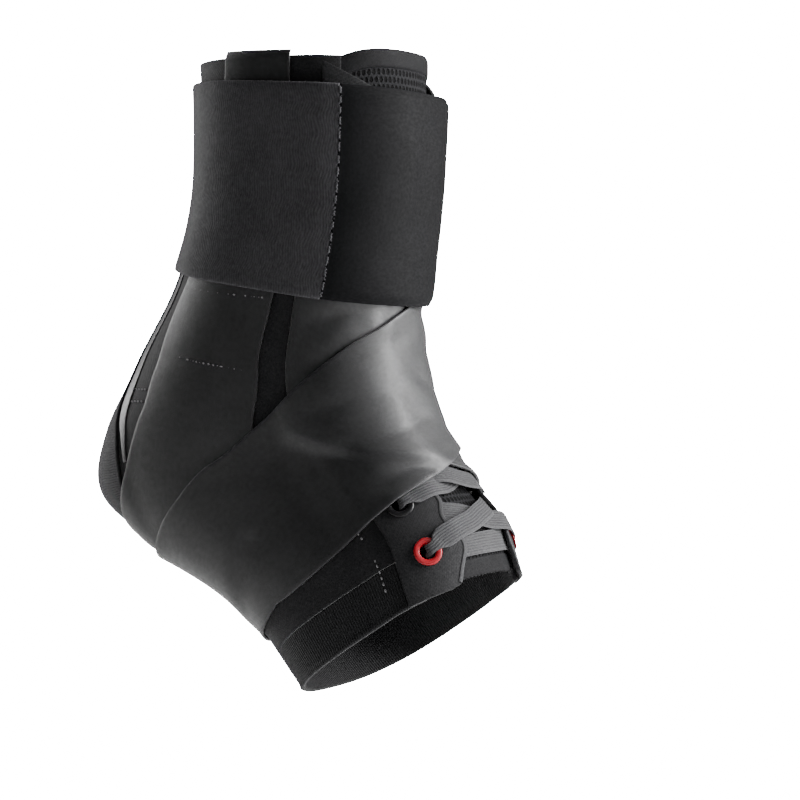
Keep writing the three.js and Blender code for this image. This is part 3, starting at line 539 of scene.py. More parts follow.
looks = {
    "boot": {"pattern": "weave", "pitch": 0.7, "dark": (0.004, 0.004, 0.005), "light": (0.019, 0.019, 0.021), "cloudSize": 18,
             "cloudShare": 0.3, "fleckShare": 0.25, "patternShare": 0.35, "roughness": 0.8, "bump": 0.5, "relief": 0.15},
    "knit": {"pattern": "knit", "pitch": 1.1, "sway": 0.2, "wander": 1.0, "dark": (0.01, 0.01, 0.0115),
             "light": (0.056, 0.056, 0.061), "cloudSize": 14, "cloudShare": 0.25, "fleckShare": 0.2, "patternShare": 0.4,
             "roughness": 0.85, "bump": 0.6, "relief": 0.2},
    "toeKnit": {"pattern": "knit", "pitch": 1.05, "sway": 0.05, "wander": 0.3, "dark": (0.0025, 0.0025, 0.003),
                "light": (0.016, 0.016, 0.018), "cloudSize": 10, "cloudShare": 0.1, "fleckShare": 0.2, "patternShare": 0.6,
                "roughness": 0.85, "bump": 0.8, "relief": 0.25},
    "strap": {"pattern": "weave", "pitch": 0.42, "dark": (0.009, 0.009, 0.0099), "light": (0.036, 0.0365, 0.039), "cloudSize": 34,
              "cloudShare": 0.18, "fleckShare": 0.22, "patternShare": 0.16, "edgeWearHighlightShare": 0.4, "edgeWidth": 0.8,
              "roughness": 0.5, "bump": 0.3, "relief": 0.08, "sheen": 0.25, "gloss": 0.5},
    "cuff": {"pattern": "knit", "pitch": 1.0, "sway": 0.5, "wander": 2.5, "dark": (0.03, 0.03, 0.0328), "light": (0.078, 0.078, 0.084),
             "cloudSize": 26, "cloudShare": 0.3, "fleckShare": 0.2, "patternShare": 0.3, "edgeWearHighlightShare": 0.4, "roughness": 0.85,
             "bump": 0.4, "relief": 0.16},
    # the patch's strong edge line paints the highlight along its rounded rims, on top of some wear
    "patch": {"pattern": "weave", "pitch": 0.35, "dark": (0.0035, 0.0035, 0.004), "light": (0.01, 0.01, 0.0112), "cloudSize": 22,
              "cloudShare": 0.2, "fleckShare": 0.3, "patternShare": 0.1, "edgeWearHighlightShare": 0.7, "edgeWidth": 1.2, "roughness": 0.75,
              "bump": 0.2, "relief": 0.06, "sheen": 0.0, "gloss": 0.1},
    "mesh": {"pattern": "airMesh", "pitch": 2.0, "holeStep": 2.8, "dark": (0.001, 0.001, 0.001), "light": (0.024, 0.024, 0.026),
             "cloudSize": 14, "cloudShare": 0.0, "fleckShare": 0.2, "patternShare": 0.8, "edgeWearHighlightShare": 0.0, "roughness": 0.85,
             "bump": 1.0, "relief": 0.7, "sheen": 0.0, "gloss": 0.1},
    # lighter, glossier strip whose colour paints the side panel's sheen beside the heel seam
    "sheenStrip": {"pattern": "weave", "pitch": 0.3, "dark": (0.009, 0.009, 0.0102), "light": (0.024, 0.024, 0.0265), "cloudSize": 12,
              "cloudShare": 0.4, "fleckShare": 0.2, "patternShare": 0.1, "edgeWearHighlightShare": 0.2, "roughness": 0.4, "bump": 0.2,
              "relief": 0.06, "sheen": 0.2, "gloss": 0.5},
    "binding": {"pattern": "weave", "pitch": 0.5, "dark": (0.003, 0.003, 0.0035), "light": (0.014, 0.014, 0.0155), "cloudSize": 9,
                "cloudShare": 0.2, "fleckShare": 0.3, "patternShare": 0.3, "roughness": 0.75, "bump": 0.5, "relief": 0.12, "sheen": 0.0, "gloss": 0.15},
    "edging": {"pattern": "weave", "pitch": 0.5, "dark": (0.018, 0.018, 0.02), "light": (0.06, 0.06, 0.064), "cloudSize": 9,
               "cloudShare": 0.2, "fleckShare": 0.3, "patternShare": 0.4, "roughness": 0.7, "bump": 0.5, "relief": 0.12},
    "lace": {"pattern": "braid", "pitch": 1.0, "sway": 0.05, "wander": 0.3, "dark": (0.006, 0.006, 0.007),
             "light": (0.11, 0.11, 0.115), "cloudSize": 7, "cloudShare": 0.1, "fleckShare": 0.5, "patternShare": 0.3, "edgeWearHighlightShare": 0.3, "roughness": 0.75,
             "bump": 0.7, "relief": 0.15},
}
fabrics = {name: fabricMaterial(name + "Fabric", look) for name, look in looks.items()}


def hardMaterial(name, color, roughness, coat):
    material, nodes, links = newMaterial(name)
    shader = nodes["Principled BSDF"]
    place = nodes.new("ShaderNodeTexCoord")
    noise = nodes.new("ShaderNodeTexNoise")
    noise.inputs["Scale"].default_value = 900
    links.new(place.outputs["Object"], noise.inputs["Vector"])
    tint = nodes.new("ShaderNodeMix")
    tint.data_type = "RGBA"
    tint.inputs["A"].default_value = (*[c * 0.8 for c in color], 1)
    tint.inputs["B"].default_value = (*color, 1)
    links.new(noise.outputs[0], tint.inputs["Factor"])
    links.new(tint.outputs["Result"], shader.inputs["Base Color"])
    rough = mathNode(nodes, links, "MULTIPLY_ADD", noise.outputs[0], 0.15, roughness)
    links.new(rough, shader.inputs["Roughness"])
    shader.inputs["Coat Weight"].default_value = coat
    return material


redEnamel = hardMaterial("redEnamel", (0.55, 0.008, 0.02), 0.28, 0.4)
blackEnamel = hardMaterial("blackEnamel", (0.008, 0.008, 0.009), 0.25, 0.4)
stitchThread = hardMaterial("stitchThread", (0.34, 0.34, 0.35), 0.6, 0.0)
tipPlastic = hardMaterial("tipPlastic", (0.012, 0.012, 0.013), 0.3, 0.2)

# Heights above the foot and clearances between the layers
heights = {"fit": 0.3, "gap": 0.45, "tongue": 1.5, "boot": 1.5, "facing": 1.1, "lace": 0.8, "strap": 1.0, "slack": 0.35, "cuff": 2.4}
tongueTop = heights["fit"] + heights["tongue"]
bootOverTongue = tongueTop + heights["gap"]
facingInner = bootOverTongue + heights["boot"] + heights["gap"]
facingOuter = facingInner + heights["facing"]
flange = 0.5
eyeletTop = facingOuter + heights["fit"] + flange
laceOver = facingOuter + heights["gap"]
laceUnder = tongueTop + 2.7 * heights["fit"]
laceOverEyelet = eyeletTop + 0.5 * heights["fit"]
laceBar = laceUnder - 0.3 * heights["fit"]
laceInEyelet = laceUnder + heights["fit"]

# Tongue: padded, its rounded top stands above the collar
tongueSize = {"width": 72, "rise": 3, "toeShare": 0.78, "cornerDrop": 0.055, "rows": 190, "across": 70}


def makeTongue():
    s = np.linspace(0, 1, tongueSize["rows"])[:, None]
    t = np.linspace(-1, 1, tongueSize["across"])[None, :]
    top = -tongueSize["rise"] / (frontLength / 1.02)
    along = mix(top + tongueSize["cornerDrop"] * t**4, 0.988, s)
    half = tongueSize["width"] / 2 * mix(1, tongueSize["toeShare"], ease(along, 0.55, 0.95))
    around = mirroredFor(np.maximum(along, 0), t * half)
    inner = np.full(along.shape, heights["fit"])
    rim = 1 - np.clip((1 - np.abs(t)) * 12, 0, 1) ** 0.5
    outer = np.full(along.shape, tongueTop) - 0.6 * rim
    stamp(laid, along, around, outer)
    bm = sheetMesh(along, around, inner, outer, rim=0.4)
    piece = finishPiece("tonguePad", bm, fabrics["mesh"], ["tongue"])


makeTongue()

# Boot: two woven side panels, a knitted heel panel and a knitted band at the toe edge
boot = {
    "lacingGap": 24, "facingWidth": 24, "facingLap": 6, "fall": 12, "seamGap": 0.5, "toeBand": 17,
    "uTurn": 0.745, "uEnd": 0.79,   # where the heel panel narrows to its end under the sole
}
heelSeam = [
    {"along": 0.0, "around": 147}, {"along": 0.33, "around": 147}, {"along": 0.42, "around": 147},
    {"along": 0.485, "around": 140}, {"along": 0.53, "around": 135}, {"along": 0.585, "around": 127},
    {"along": 0.65, "around": 122}, {"along": 0.71, "around": 127}, {"along": 0.745, "around": 138},
]
bootFront = boot["lacingGap"] / 2 + boot["facingWidth"] - boot["facingLap"]


def seamAngle(along):
    plain = np.interp(along, [row["along"] for row in heelSeam], [row["around"] for row in heelSeam])
    for width in (0.03, 0.015):
        sides = [np.interp(along + k * width, [row["along"] for row in heelSeam], [row["around"] for row in heelSeam]) for k in (-1, 1)]
        plain = (plain * 2 + sides[0] + sides[1]) / 4
    gone = np.clip((along - boot["uTurn"]) / (boot["uEnd"] - boot["uTurn"]), 0, 1)
    return mix(180, plain, np.sqrt(1 - gone**2))


def bootRise(along, around):
    distance = distanceFor(along, np.abs(around))
    edge = tongueSize["width"] / 2 + heights["boot"]
    return mix(bootOverTongue, heights["fit"], ease(distance, edge, edge + boot["fall"]))


def panelEnd(around):
    pace = length(footPoint(1.0, around) - footPoint(0.96, around)) / 0.04
    return 1 - boot["toeBand"] / pace


def makeSidePanel(name, side, node):
    station = np.linspace(0, 1, 210)[:, None]
    t = np.linspace(0, 1, 110)[None, :]
    start = aroundFor(station, bootFront)
    seam = seamAngle(station)
    pace = length(directions(station, seam)[1])
    around = mix(start, seam - boot["seamGap"] / 2 / pace, t)
    below = np.clip((station - boot["uEnd"]) / (1 - boot["uEnd"]), 0, 1)
    along = station - below * (1 - panelEnd(around))
    inner = bootRise(along, around)
    outer = inner + heights["boot"] + 0.12 * ripples(along * 300, around * 1.2, 30, 40, 3 + side)
    stamp(laid, along, side * around, outer)
    bm = sheetMesh(along, side * around, inner, outer, rim=0.35)
    return finishPiece(name, bm, fabrics["boot"], [node])


def makeHeelPanel():
    along = np.linspace(0, boot["uEnd"] - 0.002, 180)[:, None]
    t = np.linspace(0, 1, 90)[None, :]
    seam = seamAngle(along)
    seam = seam + boot["seamGap"] / 2 / length(directions(along, seam)[1])
    around = mix(seam, 360 - seam, t)
    along = np.broadcast_to(along, around.shape)
    inner = np.full(around.shape, heights["fit"])
    outer = inner + heights["boot"]
    stamp(laid, along, around, outer)
    bm = sheetMesh(along, around, inner, outer, rim=0.35)
    finishPiece("heelKnit", bm, fabrics["knit"], ["heel_panel"])


def makeToeBand():
    start = float(aroundFor(1.0, bootFront))
    around = np.linspace(start, 360 - start, 300)[:, None]
    folded = np.where(around > 180, 360 - around, around)
    pace = length(directions(np.full(around.shape, 0.97), folded)[0])
    t = np.linspace(0, 1, 20)[None, :]
    along = mix(panelEnd(folded) + boot["seamGap"] / pace, 1, t)
    around, folded = (np.broadcast_to(a, along.shape) for a in (around, folded))
    inner = bootRise(along, folded)
    outer = inner + heights["boot"] + 0.5 * ease(t, 0.86, 0.93) * (1 - ease(t, 0.95, 1.0))
    stamp(laid, along, around, outer)
    bm = sheetMesh(along, around, inner, outer, rim=0.35)
    finishPiece("toeBandKnit", bm, fabrics["toeKnit"], ["toe_band"])


makeSidePanel("sidePanelOuterCloth", 1, "side_panel_outer")
makeSidePanel("sidePanelInnerCloth", -1, "side_panel_inner")
makeHeelPanel()
makeToeBand()
print("boot done")

# Facings and eyelets
lacing = {
    "rows": 8, "pitch": 17, "first": 13.5, "inset": 13.5, "scallop": 3, "corner": 8, "outer": 10.2, "hole": 5.6, "barrel": 0.55,
    "laceWidth": 8, "neck": 4, "tipLength": 14,
}
eyeletReach = boot["lacingGap"] / 2 + lacing["inset"]


def eyeletPlace(row, side):
    along = float(alongUpFront(lacing["first"] + row * lacing["pitch"]))
    return along, float(mirroredFor(along, side * eyeletReach))


# Distance from the front line to a facing's scalloped edge, which is rounded off at the toe edge
def facingEdge(up):
    wave = np.cos(2 * math.pi * (up - lacing["first"]) / lacing["pitch"])
    intoCorner = np.maximum(0, 1 - up / lacing["corner"])
    dips = lacing["scallop"] * (1 - wave) / 2
    return boot["lacingGap"] / 2 + dips + lacing["corner"] * (1 - np.sqrt(1 - intoCorner**2))


def makeFacing(name, side, node):
    up = np.linspace(0, frontLength - 2, 330)[:, None]
    t = np.linspace(0, 1, 34)[None, :]
    slope = 0.075 * (1 - t) * ease(up / (frontLength - 2), 0.75, 1)
    along = np.maximum(alongUpFront(up), 0.012) + slope
    distance = mix(facingEdge(up), boot["lacingGap"] / 2 + boot["facingWidth"], t)
    around = side * aroundFor(along, distance)
    inner = np.full(along.shape, facingInner)
    outer = inner + heights["facing"]
    keep = np.ones(along.shape, bool)
    points = footPoint(along, around)
    centres = (points[:-1, :-1] + points[1:, 1:] + points[1:, :-1] + points[:-1, 1:]) / 4
    for row in range(lacing["rows"]):
        centre = footPoint(*eyeletPlace(row, side))
        keep[:-1, :-1] &= length(centres - centre) > lacing["hole"] / 2 + 1.1
    stamp(laid, along, around, outer)
    bm = sheetMesh(along, around, inner, outer, rim=0.3, keep=keep)
    finishPiece(name, bm, fabrics["boot"], [node])


def makeEyelet(name, row, side, node):
    along, around = eyeletPlace(row, side)
    normal = directions(along, around)[2]
    centre = footPoint(along, around)
    hole, outer = lacing["hole"] / 2, lacing["outer"] / 2
    profile = [
        (hole, facingInner - 0.3), (hole + lacing["barrel"], facingInner - 0.3), (hole + lacing["barrel"], facingOuter + 0.25),
        (outer - 0.2, facingOuter + 0.25), (outer, facingOuter + 0.4), (outer - 0.25, facingOuter + 0.72),
        (outer - 0.75, eyeletTop + 0.05), (hole + 0.55, eyeletTop), (hole + 0.12, eyeletTop - 0.3),
    ]
    bm = bmesh.new()
    verts = [bm.verts.new((radius * mm, 0, height * mm)) for radius, height in profile]
    edges = [bm.edges.new((verts[i], verts[(i + 1) % len(verts)])) for i in range(len(verts))]
    bmesh.ops.spin(bm, geom=verts + edges, cent=(0, 0, 0), axis=(0, 0, 1), angle=2 * math.pi, steps=40, use_merge=True)
    bmesh.ops.remove_doubles(bm, verts=bm.verts[:], dist=1e-6)
    bmesh.ops.recalc_face_normals(bm, faces=bm.faces[:])
    turn = Vector((0, 0, 1)).rotation_difference(Vector(normal)).to_matrix().to_4x4()
    bmesh.ops.transform(bm, matrix=Matrix.Translation(Vector(centre * mm)) @ turn, verts=bm.verts[:])
    paint, slot = (redEnamel, "eyelet_enamel") if row == 0 else (blackEnamel, "eyelet_black")
    finishPiece(name, bm, paint, [node])
    ring = np.linspace(0, 360, 60)
    down, turned, _ = directions(along, around)
    unit = [down / length(down), turned / length(turned)]
    for radius in np.linspace(hole, outer, 8):
        vector = radius * (np.cos(np.radians(ring))[:, None] * unit[0] + np.sin(np.radians(ring))[:, None] * unit[1])
        places = stepped(np.full(60, along), np.full(60, around), vector)
        stamp(laid, *places, eyeletTop)


makeFacing("facingOuterCloth", 1, "facing_outer")
makeFacing("facingInnerCloth", -1, "facing_inner")
for row in range(lacing["rows"]):
    makeEyelet("eyeletRingOuter" + str(row + 1), row, 1, "eyelet_outer_" + str(row + 1))
    makeEyelet("eyeletRingInner" + str(row + 1), row, -1, "eyelet_inner_" + str(row + 1))
print("facings and eyelets done")

# Lace: one flat braid through every eyelet. up is a share of the pitch, across a share of the way
# from the front line to the eyelets.
laceThroughEyelet = [
    {"up": -0.025, "across": 0.95, "rise": laceInEyelet, "width": lacing["neck"]},
    {"up": 0, "across": 1, "rise": facingInner, "width": lacing["neck"]},
    {"up": 0.01, "across": 0.985, "rise": eyeletTop, "width": lacing["neck"]},
    {"up": 0.06, "across": 0.9, "rise": laceOverEyelet + 0.5 * heights["fit"], "width": lacing["neck"]},
]
laceAcross = [
    {"up": 0.155, "across": 0.78, "rise": (laceOver + laceOverEyelet) / 2, "width": lacing["laceWidth"]},
    {"up": 0.275, "across": 0.53, "rise": laceOver, "width": lacing["laceWidth"]},
    {"up": 0.4, "across": 0.2, "rise": laceUnder + heights["fit"], "width": lacing["laceWidth"]},
    {"up": 0.6, "across": -0.2, "rise": laceUnder + heights["fit"], "width": lacing["laceWidth"]},
    {"up": 0.745, "across": -0.57, "rise": laceUnder + 0.7 * heights["fit"], "width": lacing["laceWidth"]},
    {"up": 0.875, "across": -0.8, "rise": laceUnder, "width": lacing["laceWidth"]},
]
laceTail = [
    {"up": 0.25, "across": 0.77, "rise": laceOverEyelet, "width": lacing["laceWidth"]},
    {"up": 0.6, "across": 0.6, "rise": laceOver, "width": lacing["laceWidth"]},
    {"up": 1.27, "across": 0.49, "rise": laceOver, "width": lacing["laceWidth"]},
]


def laceSpots():
    def climb(side, lift):
        spots = []
        for row in range(lacing["rows"]):
            isLast = row == lacing["rows"] - 1
            for spot in laceThroughEyelet + (laceTail if isLast else laceAcross):
                lifted = lift if abs(spot["across"]) < 0.4 and not isLast else 0
                spots.append((row + spot["up"], side * spot["across"], spot["rise"] + lifted, spot["width"]))
            side = -side
        return spots
    bar = [(-0.025, across, laceBar, lacing["laceWidth"]) for across in (-0.75, -0.45, -0.15, 0.15, 0.45, 0.75)]
    return np.array(climb(-1, 0)[::-1] + bar + climb(1, heights["lace"] + 3 * heights["fit"]))


# A flat band with round edges along a line of places, closed at both ends
def bandMesh(along, around, rise, width, thickness, perSpot=6):
    rise, width = (np.broadcast_to(np.asarray(a, float), along.shape) for a in (rise, width))
    count = len(along)
    centre = raised(along, around, rise + thickness / 2)
    normal = directions(along, around)[2]
    forward = np.gradient(centre, axis=0)
    forward /= length(forward)[:, None]
    sideways = np.cross(normal, forward)
    for i in range(1, count):    # where the ribbon folds back, its edges stay on their sides
        if sideways[i] @ sideways[i - 1] < 0:
            sideways[i:] *= -1
    blend = np.hanning(2 * perSpot + 1) / np.hanning(2 * perSpot + 1).sum()
    padded = np.pad(sideways, ((perSpot, perSpot), (0, 0)), "edge")
    sideways = np.stack([np.convolve(padded[:, k], blend, "valid") for k in range(3)], 1)
    sideways -= (sideways * forward).sum(-1)[:, None] * forward
    sideways /= length(sideways)[:, None]
    upward = np.cross(forward, sideways)
    gone = np.concatenate([[0], np.cumsum(length(np.diff(centre, axis=0)))])
    ringCount = 18
    turn = np.linspace(0, 2 * math.pi, ringCount, endpoint=False)
    flat = np.sign(np.cos(turn)) * np.abs(np.cos(turn)) ** 0.55
    bulge = np.sign(np.sin(turn)) * np.abs(np.sin(turn)) ** 0.55
    bm = bmesh.new()
    bmesh.ops.create_grid(bm, x_segments=ringCount, y_segments=count - 1, size=0.5)
    clothLayer = bm.verts.layers.float_vector.new("cloth")
    for vert in bm.verts:
        i, k = round((vert.co.y + 0.5) * (count - 1)), round((vert.co.x + 0.5) * ringCount) % ringCount
        offset = sideways[i] * flat[k] * width[i] / 2 + upward[i] * bulge[k] * thickness / 2
        vert.co = (centre[i] + offset) * mm
        vert[clothLayer] = (gone[i], flat[k] * width[i] / 2, (1 - abs(flat[k])) * width[i] / 2)
    bmesh.ops.remove_doubles(bm, verts=bm.verts[:], dist=1e-7)
    bmesh.ops.holes_fill(bm, edges=[edge for edge in bm.edges if edge.is_boundary], sides=0)
    bmesh.ops.recalc_face_normals(bm, faces=bm.faces[:])
    for share in np.linspace(-0.5, 0.5, 13):
        places = stepped(along, around, sideways * (share * width)[:, None])
        stamp(laid, *places, rise + thickness)
    return bm, gone[-1]


def ribbonMesh(spots, thickness, perSpot):
    place = np.linspace(0, 1, (len(spots) - 1) * perSpot + 1)
    up, across, rise, width = (splineAt(spots[:, k], place) for k in range(4))
    along = alongUpFront(lacing["first"] + up * lacing["pitch"])
    return bandMesh(along, mirroredFor(along, across * eyeletReach), rise, width, thickness, perSpot)


def makeLace():
    spots = laceSpots()
    bm, total = ribbonMesh(spots, heights["lace"], 6)
    print("lace length", round(total), "mm")
    finishPiece("laceBraid", bm, fabrics["lace"], ["lace"])
    slope = (spots[-1][1] - spots[-2][1]) / (spots[-1][0] - spots[-2][0])
    for name, side, node in (("laceTipOuter", 1, "lace_tip_outer"), ("laceTipInner", -1, "lace_tip_inner")):
        rows = []
        for share in np.linspace(0, 1, 4):
            further = (heights["gap"] + share * lacing["tipLength"]) / lacing["pitch"]
            reach = abs(spots[-1][1]) + (abs(spots[-1][1]) - abs(spots[-2][1])) / (spots[-1][0] - spots[-2][0]) * further
            rows.append((spots[-1][0] + further, side * reach, laceOver, 0.45 * lacing["laceWidth"]))
        bm, _ = ribbonMesh(np.array(rows), 1.3 * heights["lace"], 5)
        finishPiece(name, bm, tipPlastic, [node])


makeLace()
print("lace done")

# Trims: binding round the tongue's top; along the heel seams a dark cord that paints the shadow in the seam's groove
# and a lighter strip that paints the side panel's sheen; and a thin edging on each facing. The straps lie over them.
trim = {
    "binding": {"width": 7, "thick": 2.5, "drop": 0.012},
    # The cord in the heel seam is dark to paint the shadow in the seam's groove; the strip beside it is lighter to
    # paint the side panel's sheen
    "seamShadowCord": {"from": 0.3, "to": 0.772, "width": 1.7, "thick": 1.5, "sunk": 0.5},
    "sheenStrip": {"width": 6.5, "thick": 0.5, "off": 4.6, "from": 0.3, "to": 0.62},
    "toeEnd": {"width": 6, "thick": 0.7, "up": 5.5, "half": 23},
    "edging": {"width": 1.5, "thick": 0.55, "inset": 0.9, "past": 6},
}


def makeTrims():
    look = trim["binding"]
    t = np.linspace(-1, 1, 160)
    along = look["drop"] - tongueSize["rise"] / (frontLength / 1.02) + tongueSize["cornerDrop"] * t**4
    around = mirroredFor(np.maximum(along, 0), t * tongueSize["width"] / 2)
    bm, _ = bandMesh(along, around, 0.1, look["width"], look["thick"])
    finishPiece("tongueBinding", bm, fabrics["binding"])
    look = trim["toeEnd"]
    along = np.full(120, float(alongUpFront(look["up"])))
    around = mirroredFor(along, np.linspace(-1, 1, 120) * look["half"])
    bm, _ = bandMesh(along, around, tongueTop - 0.2, look["width"], look["thick"])
    finishPiece("tongueToeBand", bm, fabrics["binding"])
    bootTop = heights["fit"] + heights["boot"]
    for label, side in (("Outer", 1), ("Inner", -1)):
        # a lighter strip on the side panel beside the seam, painting the panel's sheen
        look = trim["sheenStrip"]
        along = np.linspace(look["from"], look["to"], 220)
        pace = length(directions(along, seamAngle(along))[1])
        narrow = look["width"] * (0.35 + 0.65 * ease(look["to"] - along, 0, 0.12))
        around = side * (seamAngle(along) - look["off"] / pace)
        bm, _ = bandMesh(along, around, bootTop - 0.1, narrow, look["thick"])
        finishPiece("heelSheenStrip" + label, bm, fabrics["sheenStrip"])
        # a dark cord along the heel seam, painting the shadow in the seam's groove
        look = trim["seamShadowCord"]
        along = np.linspace(look["from"], look["to"], 320)
        bm, _ = bandMesh(along, side * seamAngle(along), bootTop - look["sunk"], look["width"], look["thick"])
        finishPiece("heelSeamShadowCord" + label, bm, fabrics["binding"])
        look = trim["edging"]
        up = np.linspace(0.05, 1, 420) ** 1.5 * (lacing["rows"] * lacing["pitch"] + look["past"])
        along = alongUpFront(up)
        around = side * aroundFor(along, facingEdge(up) + look["inset"])
        bm, _ = bandMesh(along, around, facingOuter - 0.25, look["width"], look["thick"])
        finishPiece("facingEdging" + label, bm, fabrics["edging"])


makeTrims()
print("trims done")

# Thread: rows of short stitches over whatever lies under them
stitch = {"dash": 1.6, "pitch": 2.7, "thick": 0.75, "lift": 0.12}


def makeStitches(name, rows, pitch=stitch["pitch"], dash=stitch["dash"], thread=stitchThread):
    bm = bmesh.new()
    for places in rows:
        share = np.linspace(0, 1, 120)
        along, around = (splineAt([place[k] for place in places], share) for k in (0, 1))
        path = raised(along, around, sampled(laid, along, around) + stitch["lift"])
        gone = np.concatenate([[0], np.cumsum(length(np.diff(path, axis=0)))])
        for k in range(max(1, int(gone[-1] / pitch))):
            ends = [np.array([np.interp(reach, gone, path[:, axis]) for axis in range(3)]) for reach in (k * pitch, k * pitch + dash)]
            turn = Vector(ends[1] - ends[0]).to_track_quat("X", "Z").to_matrix().to_4x4()
            size = Matrix.Diagonal((length(ends[1] - ends[0]) * mm, stitch["thick"] * mm, stitch["thick"] * mm, 1))
            place = Matrix.Translation(Vector((ends[0] + ends[1]) / 2 * mm)) @ turn @ size
            bmesh.ops.create_uvsphere(bm, u_segments=6, v_segments=4, radius=0.5, matrix=place)
    finishPiece(name, bm, thread)


def mirrored(rows):
    return rows + [[(along, -around) for along, around in row] for row in rows]


bootRows = [
    [(0.489, 131), (0.494, 118)], [(0.511, 127), (0.515, 115)],    # tack beside the heel seam
    [(0.845, 58), (0.907, 58.5), (0.965, 59.5)],
]
makeStitches("bootStitches", mirrored(bootRows), pitch=2.3, dash=1.5)

# Straps: each from its sewn end across the shin, down one side, under the sole and up the other
strap = {
    "width": 58, "tip": 27, "taper": 200, "rows": 480, "across": 37, "reach": 2.6, "blur": 1.6, "own": 95,
    "cutBack": 42,    # how much later the lower edge starts than the upper one
    "cutFade": 90,    # length over which the rows turn square to the strap
}
strapRoute = [
    {"along": 0.34, "around": -81}, {"along": 0.415, "around": -56}, {"along": 0.475, "around": -37},
    {"along": 0.555, "around": -4}, {"along": 0.626, "around": 25}, {"along": 0.685, "around": 46},
    {"along": 0.736, "around": 65}, {"along": 0.788, "around": 86}, {"along": 0.832, "around": 109},
    {"along": 0.862, "around": 144}, {"along": 0.862, "around": 175}, {"along": 0.84, "around": 199},
    {"along": 0.785, "around": 236}, {"along": 0.7, "around": 261}, {"along": 0.6, "around": 269},
    {"along": 0.5, "around": 269}, {"along": 0.4, "around": 266}, {"along": 0.2, "around": 269},
    {"along": -0.012, "around": 272},
]


# Places over a strap's whole width, and their distance from its sewn end
def strapPlaces(side):
    fine = np.linspace(0, 1, 1500)
    middleAlong = splineAt([row["along"] for row in strapRoute], fine)
    middleAround = side * splineAt([row["around"] for row in strapRoute], fine)
    passed = np.concatenate([[0], np.cumsum(length(np.diff(footPoint(middleAlong, middleAround), axis=0)))])
    total = passed[-1]
    at = lambda gone: (np.interp(gone, passed, middleAlong), np.interp(gone, passed, middleAround))
    stations = np.linspace(0, total, strap["rows"])
    middle = strap["across"] // 2
    result = []
    for column in range(strap["across"]):
        off = (middle - column) / middle
        cutBack = strap["cutBack"] * (1 + side * off) / 2
        gone = stations + cutBack * (1 - ease(stations, 0, strap["cutFade"]))
        here = at(gone)
        forward = footPoint(*at(np.minimum(gone + 6, total))) - footPoint(*at(np.maximum(gone - 6, 0)))
        heading = np.cross(directions(*here)[2], forward) * np.sign(off)
        half = mix(strap["tip"], strap["width"], ease(total - gone, 0, strap["taper"])) / 2
        for _ in range(abs(middle - column)):
            up = directions(*here)[2]
            heading = heading - (heading * up).sum(-1)[:, None] * up
            heading /= length(heading)[:, None]
            here = stepped(*here, heading * (half / middle)[:, None])
        result.append((*here, gone))
    return [np.stack([column[k] for column in result], 1) for k in range(3)] + [total]


def makeStrap(name, side, node):
    along, around, gone, total = strapPlaces(side)
    inner = sampled(bridged(laid, strap["reach"], strap["blur"]), along, around)
    withOwn = laid.copy()
    early = gone[:, strap["across"] // 2] < strap["own"]
    stamp(withOwn, along[early], around[early], inner[early] + heights["slack"] + heights["strap"])
    again = sampled(bridged(withOwn, strap["reach"], strap["blur"]), along, around)
    late = ease(gone, 0.5 * total, 0.56 * total)    # the rest may lie on its own sewn end
    inner = mix(inner, again, late) + heights["slack"]
    across = np.broadcast_to(np.linspace(-0.5, 0.5, strap["across"])[None, :] * strap["width"], along.shape)
    inner = inner + 0.3 * (1 + ripples(gone, across, 45, 60, 11 + side)) * 0.5
    outer = inner + heights["strap"]
    stamp(laid, along, around, outer)
    bm = sheetMesh(along, around, inner, outer, rim=0.3)
    piece = finishPiece(name, bm, fabrics["strap"], [node])
    print(name, "flat", strap["width"], "x", round(total), "mm")


makeStrap("strapUnderWebbing", -1, "strap_under")
makeStrap("strapOverWebbing", 1, "strap_over")
strapRows = [[(0.346, 112), (0.367, 72.5)], [(0.444, 107), (0.484, 73.5)]]    # box stitch below the cuff
makeStitches("strapStitches", mirrored(strapRows))
print("straps done")

# Cuff: knitted elastic band and the smooth patch that closes over its end
cuff = {
    "height": 74, "top": 120.6, "topTilt": 5, "bottomTilt": 8.2,    # the edges slope down to the front
    "seam": 47, "end": -98, "lap": 38, "reach": 4, "blur": 3,
}


def alongAtHeight(around, height, slope):
    tilt = math.tan(math.radians(slope))
    around, height = np.broadcast_arrays(np.asarray(around, float), np.asarray(height, float))
    above, below = np.full(around.shape, -0.1), np.full(around.shape, 0.6)
    for _ in range(22):
        middle = (above + below) / 2
        point = footPoint(middle, around)
        high = point[..., 2] + tilt * point[..., 0] > height
        above, below = np.where(high, middle, above), np.where(high, below, middle)
    return above


def cuffPlaces(around, shareDown):
    top = alongAtHeight(around, cuff["top"], cuff["topTilt"])
    bottom = alongAtHeight(around, cuff["top"] - cuff["height"], cuff["bottomTilt"])
    return mix(top, bottom, shareDown)


def cuffRest(around, along):
    below = bridged(laid, cuff["reach"], cuff["blur"])
    local = sampled(below, along, around)
    highest = np.broadcast_to(local.max(1, keepdims=True), local.shape)
    weights = np.hanning(15)
    smooth = np.apply_along_axis(lambda line: np.convolve(np.pad(line, 7, "edge"), weights / weights.sum(), "valid"), 0, highest)
    return mix(local, smooth, 0.7) + 0.3


